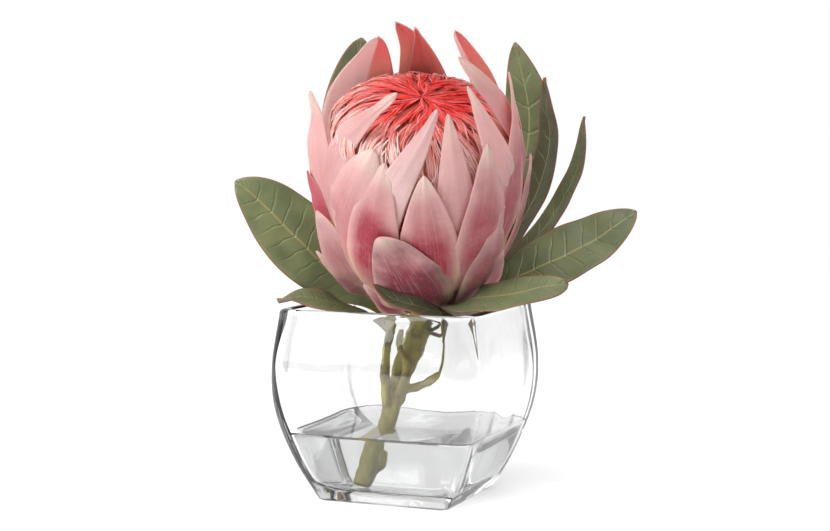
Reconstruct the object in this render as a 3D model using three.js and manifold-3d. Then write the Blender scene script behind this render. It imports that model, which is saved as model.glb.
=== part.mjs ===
// A protea bloom with its leaves, standing in a square glass vase with a little water.
// Millimetres, +Z up. The origin is the middle of the vase's underside, on the table.
// The vase's flat sides face +X, -X, +Y and -Y. The plant has a frame of its own, turned
// about Z: there x is the bloom's right, y is its back, and it leans forward, to -y.

import * as THREE from "three";
import { mergeVertices } from "three/addons/utils/BufferGeometryUtils.js";
import Module from "manifold-3d";

const wasm = await Module();
wasm.setup();

// Driving dimensions, mm and degrees.
const GAP = 0.3;
const PLANT_TURN = 22.4;

const VASE = {
  height: 104,
  floor: 8,
  wall: 4.2,
  rimRound: 1.6,
  // The inside narrows to the floor from this height above it, through rings of these insets.
  foot: { from: 4, rings: [{ above: 1, inset: 2.2 }, { above: 0, inset: 6 }] },
  // A corner is rounder inside: its radius gains this much of an inset. The least it may be.
  cornerGain: 0.6,
  leastCorner: 1.6,
  // Half side and corner radius, from the foot to the rim.
  profile: [
    { z: 0, half: 37, corner: 2.5 },
    { z: 24, half: 48.5, corner: 6.5 },
    { z: 50, half: 56.8, corner: 10.5 },
    { z: 72, half: 58.4, corner: 12 },
    { z: 104, half: 54, corner: 9 },
  ],
  levels: 9,
  cornerSteps: 4,
};

const WATER = { level: 37, clear: 0.55, steps: 4 };

const STEM = {
  sides: 8,
  knotDetail: 1,
  main: {
    radius: 5.4,
    steps: 14,
    path: [[-22, -8, 11], [-12.8, 1.5, 34], [-5, 9, 58], [3, 15, 78], [8, 18.5, 93], [5.2, 15.2, 106]],
  },
  shoots: [
    { radius: 2.9, steps: 6, path: [[-9, 3, 40], [-12.5, 2, 55], [-11.5, 3, 76], [-9, 6, 93]] },
    { radius: 1.9, steps: 7, path: [[-7, 2, 44], [-2, 0, 62], [0, 1.5, 70], [-4, 3, 81], [-3, 3, 90]] },
    { radius: 2.1, steps: 8, path: [[-4, 9, 58], [8, 6, 58.5], [19, 5, 68], [25, 5, 81], [22.5, 5.5, 92]] },
  ],
  knots: [
    { radius: 4.2, at: [-10.5, 0, 26] },
    { radius: 6.4, at: [-6.5, 7, 52] },
    { radius: 6.2, at: [5, 15.6, 84] },
  ],
};

const BLOOM = {
  base: [5, 14, 108],
  tilt: 30,
  lean: 3,
  // Radius of the wall of bracts at a height along the bloom's axis.
  profile: [
    [13, 0], [23, 5], [32, 13], [41, 28], [48.5, 50], [52.5, 72],
    [53, 92], [50, 112], [42, 135], [30, 160],
  ],
  receptacle: [[0, -4.5], [9, -4.5], [13, 0], [27, 11], [37, 26], [42, 44], [38, 62], [0, 62]],
  receptacleSides: 20,
  dome: [[0, 62.4], [37, 62.4], [44.5, 84], [46, 96], [41, 108], [29, 115.5], [0, 119]],
  domeSides: 24,
};

// A blade's end is this round, and no narrower than this share of its width.
const BLADE_END = { power: 1.7, least: 0.07 };

const BRACT = {
  thickness: 0.9,
  rows: 6,
  rootWidth: 0.5,
  widest: 0.45,
  blunt: 0.8,
  // A blade at least this wide has four facets across, and a narrow or hidden one two.
  wideFrom: 30,
  // A root is sunk this far into the receptacle and is out of it at this share of the length.
  sunk: 4,
  free: 0.22,
  // How late along the blade it leaves the wall for its tip's own radius, and turns sideways.
  tipPower: 3,
  bend: 1.5,
  // A rolled blade has its whole roll from this share of its length on.
  rolledFrom: 0.35,
  // Share of its stand that it has at the root, and how fast it gains the rest.
  rootStand: 0.3,
  standRate: 2,
  // It is hollow like the wall below this height, and up to twice as much at its tip.
  hollowBelow: 110,
  tipHollow: 0.5,
};

// The bracts that the bloom shows in front and in outline. turn: degrees round the bloom from
// its front to its right, at the root and at the tip. from, to: heights of root and tip.
// out: radius of the tip. proud: how far the blade stands off the wall. bend: how late it turns
// sideways. roll: degrees that its face is turned further round than its place.
const NAMED_BRACTS = [
  { turn: [5, -23], from: 2, to: 72.5, out: 59, width: 41, proud: 6, blunt: 0.56 },
  { turn: [7, -3], from: 5, to: 106, out: 49, width: 34, proud: 4, blunt: 0.72 },
  { turn: [-32, -28], from: 5, to: 108, out: 47, width: 32, proud: 3.6, blunt: 0.68 },
  { turn: [-64, -36], from: 8, to: 113, out: 47, width: 44, proud: 2.4, blunt: 0.62 },
  { turn: [-34, 4], from: 15, to: 135, out: 33.5, width: 22, proud: 0.4, blunt: 0.8, bend: 2.5 },
  { turn: [20, 14], from: 15, to: 132, out: 33, width: 22, proud: 0 },
  { turn: [30, 37], from: 10, to: 119, out: 46, width: 29, proud: 2, blunt: 0.75 },
  { turn: [-76, -31], from: 14, to: 141, out: 34, width: 26, proud: 1.2, blunt: 1.1, bend: 3.8 },
  { turn: [58, 29], from: 14, to: 147, out: 34, width: 22, proud: 0, blunt: 0.9, bend: 2.6 },
  { turn: [80, 32], from: 12, to: 157, out: 22, width: 19, proud: 0, blunt: 0.6, bend: 6 },
  { turn: [132, 159], from: 14, to: 143, out: 38, width: 24, proud: 0, blunt: 0.55, bend: 3 },
  { turn: [50, 84], from: 10, to: 142, out: 38, width: 26, proud: 0, bend: 3 },
  { turn: [72, 82], from: 6, to: 97, out: 53.3, width: 16, proud: 2.2, roll: -8 },
  { turn: [-177, -155.5], from: 14, to: 147, out: 40, width: 29, proud: 0, blunt: 0.75, bend: 6 },
  { turn: [178, 193], from: 14, to: 143, out: 41, width: 33, proud: 0, blunt: 1.1, bend: 5 },
  { turn: [-133, -141], from: 14, to: 139, out: 44, width: 47, proud: 1.5, blunt: 0.6, roll: -18 },
  { turn: [-81, -91], from: 12, to: 123, out: 58, width: 22, proud: 0, blunt: 0.55, bend: 3, roll: 36 },
  { turn: [-80, -90], from: 8, to: 76, out: 62, width: 18, proud: 3, roll: 38 },
  { turn: [-58, -74], from: 6, to: 62, out: 58, width: 26, proud: 5, roll: 28 },
  { turn: [-60, -80], from: 3, to: 32, out: 57, width: 15, proud: 7, roll: 25 },
  { turn: [36, 44], from: 4, to: 80, out: 54, width: 22, proud: 5 },
  { turn: [52, 53], from: 3, to: 53, out: 52, width: 15, proud: 6, roll: -12 },
  { turn: [-15, -34], from: 3, to: 36, out: 53, width: 13, proud: 9.5 },
];

// Rings of bracts that close the wall between and behind the named ones.
const BRACT_RINGS = [
  { first: 105, step: 34, count: 5, from: 3, to: 50, out: 51, width: 24, proud: 3 },
  { first: 98, step: 35, count: 5, from: 6, to: 86, out: 52, width: 29, proud: 0.5 },
  { first: 106, step: 30, count: 5, from: 10, to: 112, out: 48, width: 28, proud: 0.3 },
];

const FLORETS = {
  seed: 7,
  length: 15.5,
  thickness: 3.2,
  sunk: 3,
  lift: 1.9,
  tip: 0.35,
  // A tuft turns inwards at this share of its length.
  bend: 0.4,
  // The shortest tuft's length and what chance adds to it, as shares of the full length.
  shortest: 0.75,
  spread: 0.4,
  // Chance moves a tuft sideways by up to this share of the step to the next one.
  scatter: 0.6,
  // Tufts nearer the axis than this are shorter, so that they don't pass it.
  crownRadius: 16,
  // From the lower height to the upper one the tufts lie over from upright to level.
  upright: 94,
  level: 118,
  // Height on the dome, radius and number of tufts, from the outside in.
  rings: [
    { height: 86, radius: 41, count: 20 },
    { height: 94, radius: 41.5, count: 22 },
    { height: 102, radius: 39.5, count: 22 },
    { height: 109, radius: 36.5, count: 20 },
    { height: 113, radius: 30, count: 16 },
    { height: 115.5, radius: 23, count: 12 },
    { height: 117, radius: 15.5, count: 8 },
    { height: 118, radius: 8.5, count: 5 },
  ],
};

// A waved leaf has this many radians of ripple, which start at its stem end.
const LEAF = { thickness: 0.9, rows: 8, columns: 4, rootWidth: 0.14, ripples: 9, rippleStart: 3 };

// Each leaf's midrib goes through points of the plant's frame, from inside the stem to its tip.
// faces: the way its upper side looks, at the stem and at the tip.
const LEAVES = [
  {
    name: "leaf_left_large",
    path: [[-9, 6, 90], [-14, 13, 99], [-36, 20, 113.8], [-53, 18, 129.3], [-81, 12, 158.5], [-94, 8, 170.5]],
    width: 46,
    widest: 0.55,
    blunt: 0.62,
    faces: [[0.2, -0.6, 0.8], [0.2, -0.9, 0.4]],
    fold: 0.14,
  },
  {
    name: "leaf_left_low",
    path: [[-9, 6, 86], [-20, -5, 98], [-41, -14, 105.3], [-58, -15, 108.8], [-70, -12, 106.8]],
    width: 25,
    widest: 0.5,
    blunt: 0.7,
    faces: [[0, -0.1, 1], [0.1, -0.36, 0.9]],
    fold: 0.1,
    wave: 1.5,
  },
  {
    name: "leaf_back_left",
    path: [[7, 18, 90], [0, 31, 103], [-14, 44, 125], [-27, 44, 165], [-31, 38, 208], [-26, 30, 249]],
    width: 40,
    widest: 0.6,
    blunt: 0.55,
    faces: [[0, -0.9, 0.4], [0, -1, 0.1]],
    fold: 0.12,
  },
  {
    name: "leaf_right_tall",
    path: [[8, 18, 93], [19, 30, 103], [42, 44, 128], [60.5, 46, 160], [68, 43, 204], [59.5, 39, 247]],
    width: 35,
    widest: 0.6,
    blunt: 0.7,
    faces: [[-0.3, -0.8, 0.5], [-0.3, -1, 0]],
    fold: 0.14,
  },
  {
    name: "leaf_right_dark",
    path: [[8, 18, 87], [24, 22, 99], [46, 31, 122], [62, 34, 143], [78, 29, 185], [75, 26, 227]],
    width: 18,
    widest: 0.65,
    blunt: 0.7,
    faces: [[-0.5, -0.6, 0.6], [-0.7, -0.7, 0]],
    fold: 0.25,
  },
  {
    name: "leaf_right_far",
    path: [[5, 16, 83], [26, 13, 95], [54, 17, 121], [78.5, 16, 149], [92.5, 12, 177], [95.5, 9, 205.5]],
    width: 14,
    widest: 0.6,
    blunt: 0.7,
    faces: [[-0.5, -0.5, 0.7], [-0.65, -0.7, 0.2]],
    fold: 0.25,
  },
  {
    name: "leaf_right_large",
    path: [[23.5, 5, 89], [29, 3, 100], [48, -1, 113], [84, -6, 130], [107, -8, 143.5], [122.5, -8, 154.5]],
    width: 38,
    widest: 0.58,
    blunt: 0.62,
    faces: [[-0.2, -0.5, 0.8], [-0.3, -0.8, 0.5]],
    fold: 0.12,
    bare: 0.1,
  },
  {
    name: "leaf_right_low",
    path: [[24.5, 5, 83], [28, -12, 94], [31, -42, 108.6], [54, -47, 113], [70, -45, 116.5], [83, -42, 118.5]],
    width: 29,
    widest: 0.55,
    blunt: 0.5,
    faces: [[0, -0.2, 1], [0.1, -0.62, 0.78]],
    fold: 0.06,
    wave: 1,
    bare: 0.14,
  },
  {
    name: "leaf_front_small",
    path: [
      [7, 18, 90],
      [12, 2, 88],
      [21, -22, 91],
      [23, -38, 101],
      [9, -50, 106],
      [-8, -52.5, 112],
      [-18, -52, 119],
    ],
    width: 13,
    widest: 0.7,
    blunt: 0.6,
    faces: [[0.3, 0, 1], [0, -0.8, 0.6]],
    fold: 0.1,
    wave: 0.8,
    bare: 0.35,
  },
];

const FINISH = {
  vase: { color: 0xe6eceb, roughness: 0.03, metalness: 0 },
  water: { color: 0xdfe9ea, roughness: 0.02, metalness: 0 },
  stem: { color: 0x8c8232, roughness: 0.6, metalness: 0 },
  leaf: { color: 0x64734f, roughness: 0.55, metalness: 0 },
  bract: { color: 0xd8a0a0, roughness: 0.6, metalness: 0 },
  floret: { color: 0xdd5a45, roughness: 0.7, metalness: 0 },
};

const radians = THREE.MathUtils.degToRad;
const vector = (point) => new THREE.Vector3(...point);

/** A share from 0 to 1 that starts and ends level. */
function eased(share) {
  return THREE.MathUtils.smoothstep(share, 0, 1);
}

/** A repeatable random number from 0 to 1 for a seed and a count (mulberry32). */
function makeRandom(seed) {
  let state = seed;
  return () => {
    state = (state + 0x6d2b79f5) | 0;
    let mixed = Math.imul(state ^ (state >>> 15), 1 | state);
    mixed = (mixed + Math.imul(mixed ^ (mixed >>> 7), 61 | mixed)) ^ mixed;
    return ((mixed ^ (mixed >>> 14)) >>> 0) / 4294967296;
  };
}

/** A closed geometry as a solid that can be joined and cut. */
function solidOf(geometry) {
  const plain = geometry.clone();
  plain.deleteAttribute("normal");
  plain.deleteAttribute("uv");
  const merged = mergeVertices(plain, 1e-4);
  return new wasm.Manifold(
    new wasm.Mesh({
      numProp: 3,
      vertProperties: merged.attributes.position.array,
      triVerts: new Uint32Array(merged.index.array),
    }),
  );
}

/** A solid as a geometry again. */
function geometryOf(solid) {
  const mesh = solid.getMesh();
  const geometry = new THREE.BufferGeometry();
  geometry.setAttribute("position", new THREE.BufferAttribute(mesh.vertProperties, 3));
  geometry.setIndex(new THREE.BufferAttribute(mesh.triVerts, 1));
  return geometry;
}

/** All the solids of a list joined into one. */
function joined(solids) {
  return solids.reduce((whole, solid) => whole.add(solid));
}

/** A closed geometry through rings of points, with a flat cap at each end. */
function loft(rings) {
  const count = rings[0].length;
  const positions = rings.flat().flatMap((p) => [p.x, p.y, p.z]);
  const faces = [];
  for (let r = 0; r < rings.length - 1; r += 1) {
    for (let i = 0; i < count; i += 1) {
      const next = (i + 1) % count;
      const [a, b] = [r * count + i, r * count + next];
      const [c, d] = [a + count, b + count];
      faces.push(a, b, c, b, d, c);
    }
  }
  const last = (rings.length - 1) * count;
  for (let i = 1; i < count - 1; i += 1) {
    faces.push(0, i + 1, i);
    faces.push(last, last + i, last + i + 1);
  }
  const geometry = new THREE.BufferGeometry();
  geometry.setAttribute("position", new THREE.Float32BufferAttribute(positions, 3));
  geometry.setIndex(faces);
  return geometry;
}

/** The points of a square with round corners, anticlockwise, at height z. */
function roundedSquare(half, corner, z) {
  const points = [];
  for (let quarter = 0; quarter < 4; quarter += 1) {
    const start = (quarter * Math.PI) / 2;
    const centre = new THREE.Vector2(half - corner, half - corner).rotateAround(new THREE.Vector2(), start);
    for (let step = 0; step <= VASE.cornerSteps; step += 1) {
      const angle = start + (step / VASE.cornerSteps) * (Math.PI / 2);
      points.push(
        new THREE.Vector3(centre.x + corner * Math.cos(angle), centre.y + corner * Math.sin(angle), z),
      );
    }
  }
  return points;
}

const vaseCurve = new THREE.CatmullRomCurve3(
  VASE.profile.map(({ z, half, corner }) => new THREE.Vector3(half, corner, z)),
);

/** Half side and corner radius of the vase's outside at height z. */
function vaseAt(z) {
  let [low, high] = [0, 1];
  for (let i = 0; i < 30; i += 1) {
    const middle = (low + high) / 2;
    if (vaseCurve.getPoint(middle).z < z) low = middle;
    else high = middle;
  }
  const point = vaseCurve.getPoint(low);
  return { half: point.x, corner: point.y };
}

/** The outline of the vase at height z, moved inwards by inset. */
function vaseRing(z, inset) {
  const { half, corner } = vaseAt(z);
  const inner = Math.max(corner + inset * VASE.cornerGain, VASE.leastCorner);
  return roundedSquare(half - inset, inner, z);
}

/** Evenly spaced heights from one to another, both included. */
function heights(from, to, steps) {
  return Array.from({ length: steps + 1 }, (_, i) => THREE.MathUtils.lerp(from, to, i / steps));
}

/** The vase's lowest inside rings, from the top down, moved up and inwards by clear. */
function footRings(clear) {
  const { floor, wall, foot } = VASE;
  return foot.rings.map(({ above, inset }) => vaseRing(floor + above + clear, wall + inset + clear));
}

/** The vase: its outside up to the rounded rim, and its inside down to the floor. */
function vaseGeometry() {
  const { height, wall, floor, rimRound, foot, levels } = VASE;
  const shoulder = height - rimRound;
  const outside = heights(0, shoulder, levels).map((z) => vaseRing(z, 0));
  const rim = [vaseRing(height, rimRound), vaseRing(height, wall - rimRound)];
  const inside = heights(shoulder, floor + foot.from, levels - 2).map((z) => vaseRing(z, wall));
  return loft([...outside, ...rim, ...inside, ...footRings(0)]);
}

/** The water: the vase's inside up to the water level, with a little room all round. */
function waterGeometry() {
  const { floor, wall, foot } = VASE;
  const { level, clear, steps } = WATER;
  const sides = heights(floor + foot.from + clear, level, steps).map((z) => vaseRing(z, wall + clear));
  return loft([...footRings(clear).reverse(), ...sides]);
}

/** A path's points with its two ends moved outwards. */
function lengthened(path, extra) {
  const points = path.map(vector);
  const [first, second] = points;
  const [beforeLast, last] = points.slice(-2);
  const start = first.clone().add(first.clone().sub(second).setLength(extra));
  const end = last.clone().add(last.clone().sub(beforeLast).setLength(extra));
  return [start, ...points.slice(1, -1), end];
}

/** A tube along a path, as a closed geometry, made bigger all round by extra. */
function tube({ path, radius, steps }, extra) {
  const section = new THREE.Shape();
  for (let i = 0; i < STEM.sides; i += 1) {
    const angle = (i / STEM.sides) * 2 * Math.PI;
    const point = [(radius + extra) * Math.cos(angle), (radius + extra) * Math.sin(angle)];
    if (i === 0) section.moveTo(...point);
    else section.lineTo(...point);
  }
  section.closePath();
  return new THREE.ExtrudeGeometry(section, {
    steps,
    bevelEnabled: false,
    extrudePath: new THREE.CatmullRomCurve3(lengthened(path, extra)),
  });
}

/** The stem with its shoots and knots, each made thicker by extra. */
function stemSolid(extra) {
  const { main, shoots, knots } = STEM;
  const pieces = [main, ...shoots].map((branch) => solidOf(tube(branch, extra)));
  for (const { radius, at } of knots) {
    const knot = new THREE.IcosahedronGeometry(radius + extra, STEM.knotDetail).translate(...at);
    pieces.push(solidOf(knot));
  }
  return joined(pieces);
}

/** A blade's width at a share of its length, as a share of its full width. */
function bladeWidth(share, root, widest, blunt, bare = 0) {
  const rise = root + (1 - root) * eased((share - bare) / (widest - bare));
  const past = Math.max(0, (share - widest) / (1 - widest));
  return Math.max(rise * (1 - past ** BLADE_END.power) ** blunt, BLADE_END.least);
}

/** A thin closed geometry on both sides of a grid of points. */
function sheet(grid, thickness) {
  const rows = grid.length;
  const columns = grid[0].length;
  const clamp = (value, count) => Math.min(Math.max(value, 0), count - 1);
  const at = (r, c) => grid[clamp(r, rows)][clamp(c, columns)];
  const [upper, lower] = [[], []];
  for (let r = 0; r < rows; r += 1) {
    for (let c = 0; c < columns; c += 1) {
      const across = at(r, c + 1).clone().sub(at(r, c - 1));
      const along = at(r + 1, c).clone().sub(at(r - 1, c));
      const normal = across.cross(along).setLength(thickness / 2);
      upper.push(at(r, c).clone().add(normal));
      lower.push(at(r, c).clone().sub(normal));
    }
  }
  const faces = [];
  const count = rows * columns;
  const index = (r, c) => r * columns + c;
  const wall = (a, b) => faces.push(a, b, b + count, a, b + count, a + count);
  for (let r = 0; r < rows - 1; r += 1) {
    for (let c = 0; c < columns - 1; c += 1) {
      const [a, b] = [index(r, c), index(r, c + 1)];
      const [d, e] = [index(r + 1, c), index(r + 1, c + 1)];
      faces.push(a, b, d, b, e, d);
      faces.push(a + count, d + count, b + count, b + count, d + count, e + count);
    }
    wall(index(r, 0), index(r + 1, 0));
    wall(index(r + 1, columns - 1), index(r, columns - 1));
  }
  for (let c = 0; c < columns - 1; c += 1) {
    wall(index(0, c + 1), index(0, c));
    wall(index(rows - 1, c), index(rows - 1, c + 1));
  }
  const geometry = new THREE.BufferGeometry();
  const positions = [...upper, ...lower].flatMap((p) => [p.x, p.y, p.z]);
  geometry.setAttribute("position", new THREE.Float32BufferAttribute(positions, 3));
  geometry.setIndex(faces);
  return geometry;
}

/** The radius of an outline of [radius, height] points at a height. */
function radiusAt(outline, height) {
  const level = THREE.MathUtils.clamp(height, outline[0][1], outline.at(-1)[1]);
  const above = Math.max(1, outline.findIndex(([, h]) => h >= level));
  const [[r0, h0], [r1, h1]] = [outline[above - 1], outline[above]];
  return THREE.MathUtils.lerp(r0, r1, (level - h0) / (h1 - h0));
}

/** A point of the bloom: radius and degrees round its axis from its front, and height along it. */
function bloomPoint(radius, turn, height) {
  const angle = radians(turn);
  return new THREE.Vector3(radius * Math.sin(angle), -radius * Math.cos(angle), height);
}

/** The middle of a bract at a share of its length, with its turn and height. */
function bractMiddle({ turn, from, to, out, proud, bend = BRACT.bend }, share) {
  const height = THREE.MathUtils.lerp(from, to, share);
  const wall = radiusAt(BLOOM.profile, height);
  const stand = proud * Math.min(1, BRACT.rootStand + share * BRACT.standRate);
  const flare = (out - radiusAt(BLOOM.profile, to) - proud) * share ** BRACT.tipPower;
  const depth = wall + stand - radiusAt(BLOOM.receptacle.slice(1, -1), height) + BRACT.sunk;
  const sunk = depth * (1 - eased(share / BRACT.free));
  const degrees = turn[0] + (turn[1] - turn[0]) * share ** bend;
  return { degrees, height, point: bloomPoint(wall + stand + flare - sunk, degrees, height) };
}

/** One bract's grid of points in the bloom's frame. */
function bractGrid(bract) {
  const { width, proud, hidden = false, blunt = BRACT.blunt, roll = 0 } = bract;
  const columns = width >= BRACT.wideFrom && !hidden ? 4 : 2;
  const grid = [];
  for (let r = 0; r <= BRACT.rows; r += 1) {
    const share = r / BRACT.rows;
    const { degrees, height, point } = bractMiddle(bract, share);
    const before = bractMiddle(bract, Math.max(0, share - 0.03)).point;
    const along = bractMiddle(bract, Math.min(1, share + 0.03)).point.sub(before).normalize();
    const outward = bloomPoint(1, degrees + roll * eased(share / BRACT.rolledFrom), 0);
    const across = along.clone().cross(outward).normalize();
    outward.copy(across).cross(along);
    const halfWidth = (width / 2) * bladeWidth(share, BRACT.rootWidth, BRACT.widest, blunt);
    const wall = radiusAt(BLOOM.profile, Math.min(height, BRACT.hollowBelow)) + proud;
    const hollow = wall * (1 - BRACT.tipHollow * share ** 2);
    const row = [];
    for (let c = 0; c <= columns; c += 1) {
      const bend = (halfWidth * ((2 * c) / columns - 1)) / hollow;
      row.push(
        point
          .clone()
          .addScaledVector(across, hollow * Math.sin(bend))
          .addScaledVector(outward, -hollow * (1 - Math.cos(bend))),
      );
    }
    grid.push(row);
  }
  return grid;
}

/** Every bract of the bloom, the named ones first. */
function allBracts() {
  const rings = BRACT_RINGS.flatMap(({ first, step, count, ...shape }) =>
    Array.from({ length: count }, (_, i) => {
      const turn = first + step * i;
      return { turn: [turn, turn + 4], hidden: true, ...shape };
    }),
  );
  return [...NAMED_BRACTS, ...rings];
}

/** A solid of revolution about Z from [radius, height] points, starting and ending on the axis. */
function turned(points, sides) {
  const profile = points.map(([radius, height]) => new THREE.Vector2(radius, height));
  return solidOf(new THREE.LatheGeometry(profile, sides).rotateX(Math.PI / 2));
}

/** The bracts joined round the receptacle that carries them, with no sealed hollows between. */
function bractSolid() {
  const core = turned(BLOOM.receptacle, BLOOM.receptacleSides);
  const blades = allBracts().map((bract) => solidOf(sheet(bractGrid(bract), BRACT.thickness)));
  return joined([core, ...blades]);
}

/** The one body of a solid that is the largest, without what is sealed inside it. */
function outerBody(solid) {
  return solid.decompose().reduce((most, body) => (body.volume() > most.volume() ? body : most));
}

/** One tuft of florets: a curved spike with three sides, combed towards the bloom's axis. */
function tuft(root, outward, inward, length) {
  const side = outward.clone().cross(inward).normalize();
  const ring = (lift, reach, size) =>
    [0, 1, 2].map((i) => {
      const angle = (i / 3) * 2 * Math.PI;
      return root
        .clone()
        .addScaledVector(outward, lift + size * Math.sin(angle))
        .addScaledVector(inward, reach)
        .addScaledVector(side, size * Math.cos(angle));
    });
  const { thickness, sunk, lift, tip, bend } = FLORETS;
  return loft([
    ring(-sunk, 0, thickness / 2),
    ring(lift, length * bend, thickness / 2),
    ring(lift, length, tip),
  ]);
}

/** The dome of florets: a core with rings of tufts that rise up its side and lie towards its middle. */
function floretSolid() {
  const { seed, rings, scatter, shortest, spread, crownRadius, upright, level } = FLORETS;
  const random = makeRandom(seed);
  const pieces = [turned(BLOOM.dome, BLOOM.domeSides)];
  for (const { height, radius, count } of rings) {
    const steepness = THREE.MathUtils.clamp((level - height) / (level - upright), 0, 1);
    for (let i = 0; i < count; i += 1) {
      const turn = ((i + random() * scatter) / count) * 360;
      const root = bloomPoint(radius, turn, height);
      const inward = bloomPoint(steepness - 1, turn, steepness).normalize();
      const outward = bloomPoint(steepness, turn, 1 - steepness).normalize();
      const reach = (shortest + spread * random()) * Math.min(1, radius / crownRadius);
      const length = FLORETS.length * reach;
      pieces.push(solidOf(tuft(root, outward, inward, length)));
    }
  }
  return joined(pieces);
}

/** One leaf's grid of points: a midrib through its path and a folded, waved blade across it. */
function leafGrid({ path, width, widest, blunt, faces, fold = 0, wave = 0, bare = 0 }) {
  const { rows, columns, rootWidth, ripples, rippleStart } = LEAF;
  const midrib = new THREE.CatmullRomCurve3(path.map(vector));
  const grid = [];
  for (let r = 0; r <= rows; r += 1) {
    const share = r / rows;
    const point = midrib.getPointAt(share);
    const along = midrib.getTangentAt(share);
    const face = vector(faces[0]).lerp(vector(faces[1]), share);
    const across = along.clone().cross(face).normalize();
    face.copy(across).cross(along);
    const halfWidth = (width / 2) * bladeWidth(share, rootWidth, widest, blunt, bare);
    const row = [];
    for (let c = 0; c <= columns; c += 1) {
      const side = (2 * c) / columns - 1;
      const ripple = wave * side * side * Math.sin(share * ripples + side) * eased(share * rippleStart);
      row.push(
        point
          .clone()
          .addScaledVector(across, halfWidth * side)
          .addScaledVector(face, halfWidth * fold * Math.abs(side) + ripple),
      );
    }
    grid.push(row);
  }
  return grid;
}

/** A named mesh of a geometry and a finish. */
function piece(name, geometry, finish) {
  const mesh = new THREE.Mesh(geometry, new THREE.MeshStandardMaterial(finish));
  mesh.name = name;
  return mesh;
}

const plant = new THREE.Group();
plant.rotation.z = radians(PLANT_TURN);

const bloom = new THREE.Group();
bloom.position.set(...BLOOM.base);
bloom.rotation.set(radians(BLOOM.tilt), radians(BLOOM.lean), 0);
bloom.updateMatrix();

// What the stem passes through or carries keeps clear of it by the gap.
const stemRoom = geometryOf(stemSolid(GAP));
const roomInPlant = solidOf(stemRoom);
const roomInBloom = solidOf(stemRoom.clone().applyMatrix4(bloom.matrix.clone().invert()));
const roomInVase = solidOf(stemRoom.clone().rotateZ(radians(PLANT_TURN)));

bloom.add(piece("bracts", geometryOf(outerBody(bractSolid().subtract(roomInBloom))), FINISH.bract));
bloom.add(piece("florets", geometryOf(floretSolid()), FINISH.floret));
plant.add(bloom);
plant.add(piece("stem", geometryOf(stemSolid(0)), FINISH.stem));
for (const leaf of LEAVES) {
  const blade = solidOf(sheet(leafGrid(leaf), LEAF.thickness)).subtract(roomInPlant);
  plant.add(piece(leaf.name, geometryOf(outerBody(blade)), FINISH.leaf));
}

const protea = new THREE.Group();
protea.add(piece("vase", vaseGeometry(), FINISH.vase));
protea.add(piece("water", geometryOf(solidOf(waterGeometry()).subtract(roomInVase)), FINISH.water));
protea.add(plant);

export default protea;
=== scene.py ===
"""A protea bloom with its leaves, standing in a square glass vase with a little water."""

import logging
import math
from collections.abc import Sequence
from dataclasses import dataclass, field, replace
from enum import Enum

import bpy
import numpy as np
from mathutils import Matrix, Vector

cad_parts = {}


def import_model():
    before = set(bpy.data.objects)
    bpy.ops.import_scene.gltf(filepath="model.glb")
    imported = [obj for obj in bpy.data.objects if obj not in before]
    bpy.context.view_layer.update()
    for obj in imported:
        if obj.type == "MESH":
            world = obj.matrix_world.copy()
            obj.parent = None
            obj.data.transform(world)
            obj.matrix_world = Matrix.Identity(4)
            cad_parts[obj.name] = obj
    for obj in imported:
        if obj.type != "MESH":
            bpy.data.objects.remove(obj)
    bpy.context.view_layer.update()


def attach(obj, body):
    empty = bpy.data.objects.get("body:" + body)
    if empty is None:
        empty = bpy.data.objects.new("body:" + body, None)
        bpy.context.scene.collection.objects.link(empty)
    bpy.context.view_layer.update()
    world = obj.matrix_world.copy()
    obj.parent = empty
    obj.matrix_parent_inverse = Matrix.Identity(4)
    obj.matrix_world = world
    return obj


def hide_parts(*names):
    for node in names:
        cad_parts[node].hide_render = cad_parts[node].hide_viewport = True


LOG = logging.getLogger("protea")
MM = 0.001
GOLDEN_ANGLE = 137.507764
# The plant's front and the camera are turned this far from the vase's front, in degrees.
FRONT = 22.4
PLANT_TURN = math.radians(FRONT)

Numbers = np.ndarray
Colour = tuple[float, float, float]


def linear(red: float, green: float, blue: float) -> Colour:
    """Turn a screen colour from 0 to 255 into the linear one that shaders use.

    Args:
        red: The red part.
        green: The green part.
        blue: The blue part.

    Returns:
        The linear colour.
    """
    parts = [channel / 255 for channel in (red, green, blue)]
    return tuple(part / 12.92 if part <= 0.04045 else ((part + 0.055) / 1.055) ** 2.4 for part in parts)


def eased(share: Numbers) -> Numbers:
    """Return a share from 0 to 1 that starts and ends level."""
    held = np.clip(share, 0, 1)
    return held * held * (3 - 2 * held)


def unit(vectors: Numbers) -> Numbers:
    """Return vectors of length one in the same directions."""
    return vectors / np.maximum(np.linalg.norm(vectors, axis=-1, keepdims=True), 1e-12)


def turn_about_z(points: Numbers, angle: float) -> Numbers:
    """Turn points about the upright axis.

    Args:
        points: Rows of x, y and z.
        angle: The turn in radians, anticlockwise from above.

    Returns:
        The turned points.
    """
    turning = np.array(Matrix.Rotation(angle, 3, "Z"))
    return points @ turning.T


class Ripple:
    """A smooth random field over space, the same at each run for one seed."""

    WAVES = 10
    GAIN = 2.2

    def __init__(self, seed: int, size: float) -> None:
        """Draw the waves that make the field.

        Args:
            seed: The seed of the draws.
            size: The usual distance between bumps.
        """
        draw = np.random.default_rng(seed)
        self.directions = unit(draw.normal(size=(self.WAVES, 3))) * draw.uniform(0.6, 1.5, (self.WAVES, 1))
        self.directions *= 2 * math.pi / size
        self.phases = draw.uniform(0, 2 * math.pi, self.WAVES)

    def at(self, points: Numbers) -> Numbers:
        """Return the field's values, mostly from -1 to 1, at points."""
        return np.sin(points @ self.directions.T + self.phases).mean(axis=-1) * self.GAIN


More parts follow.
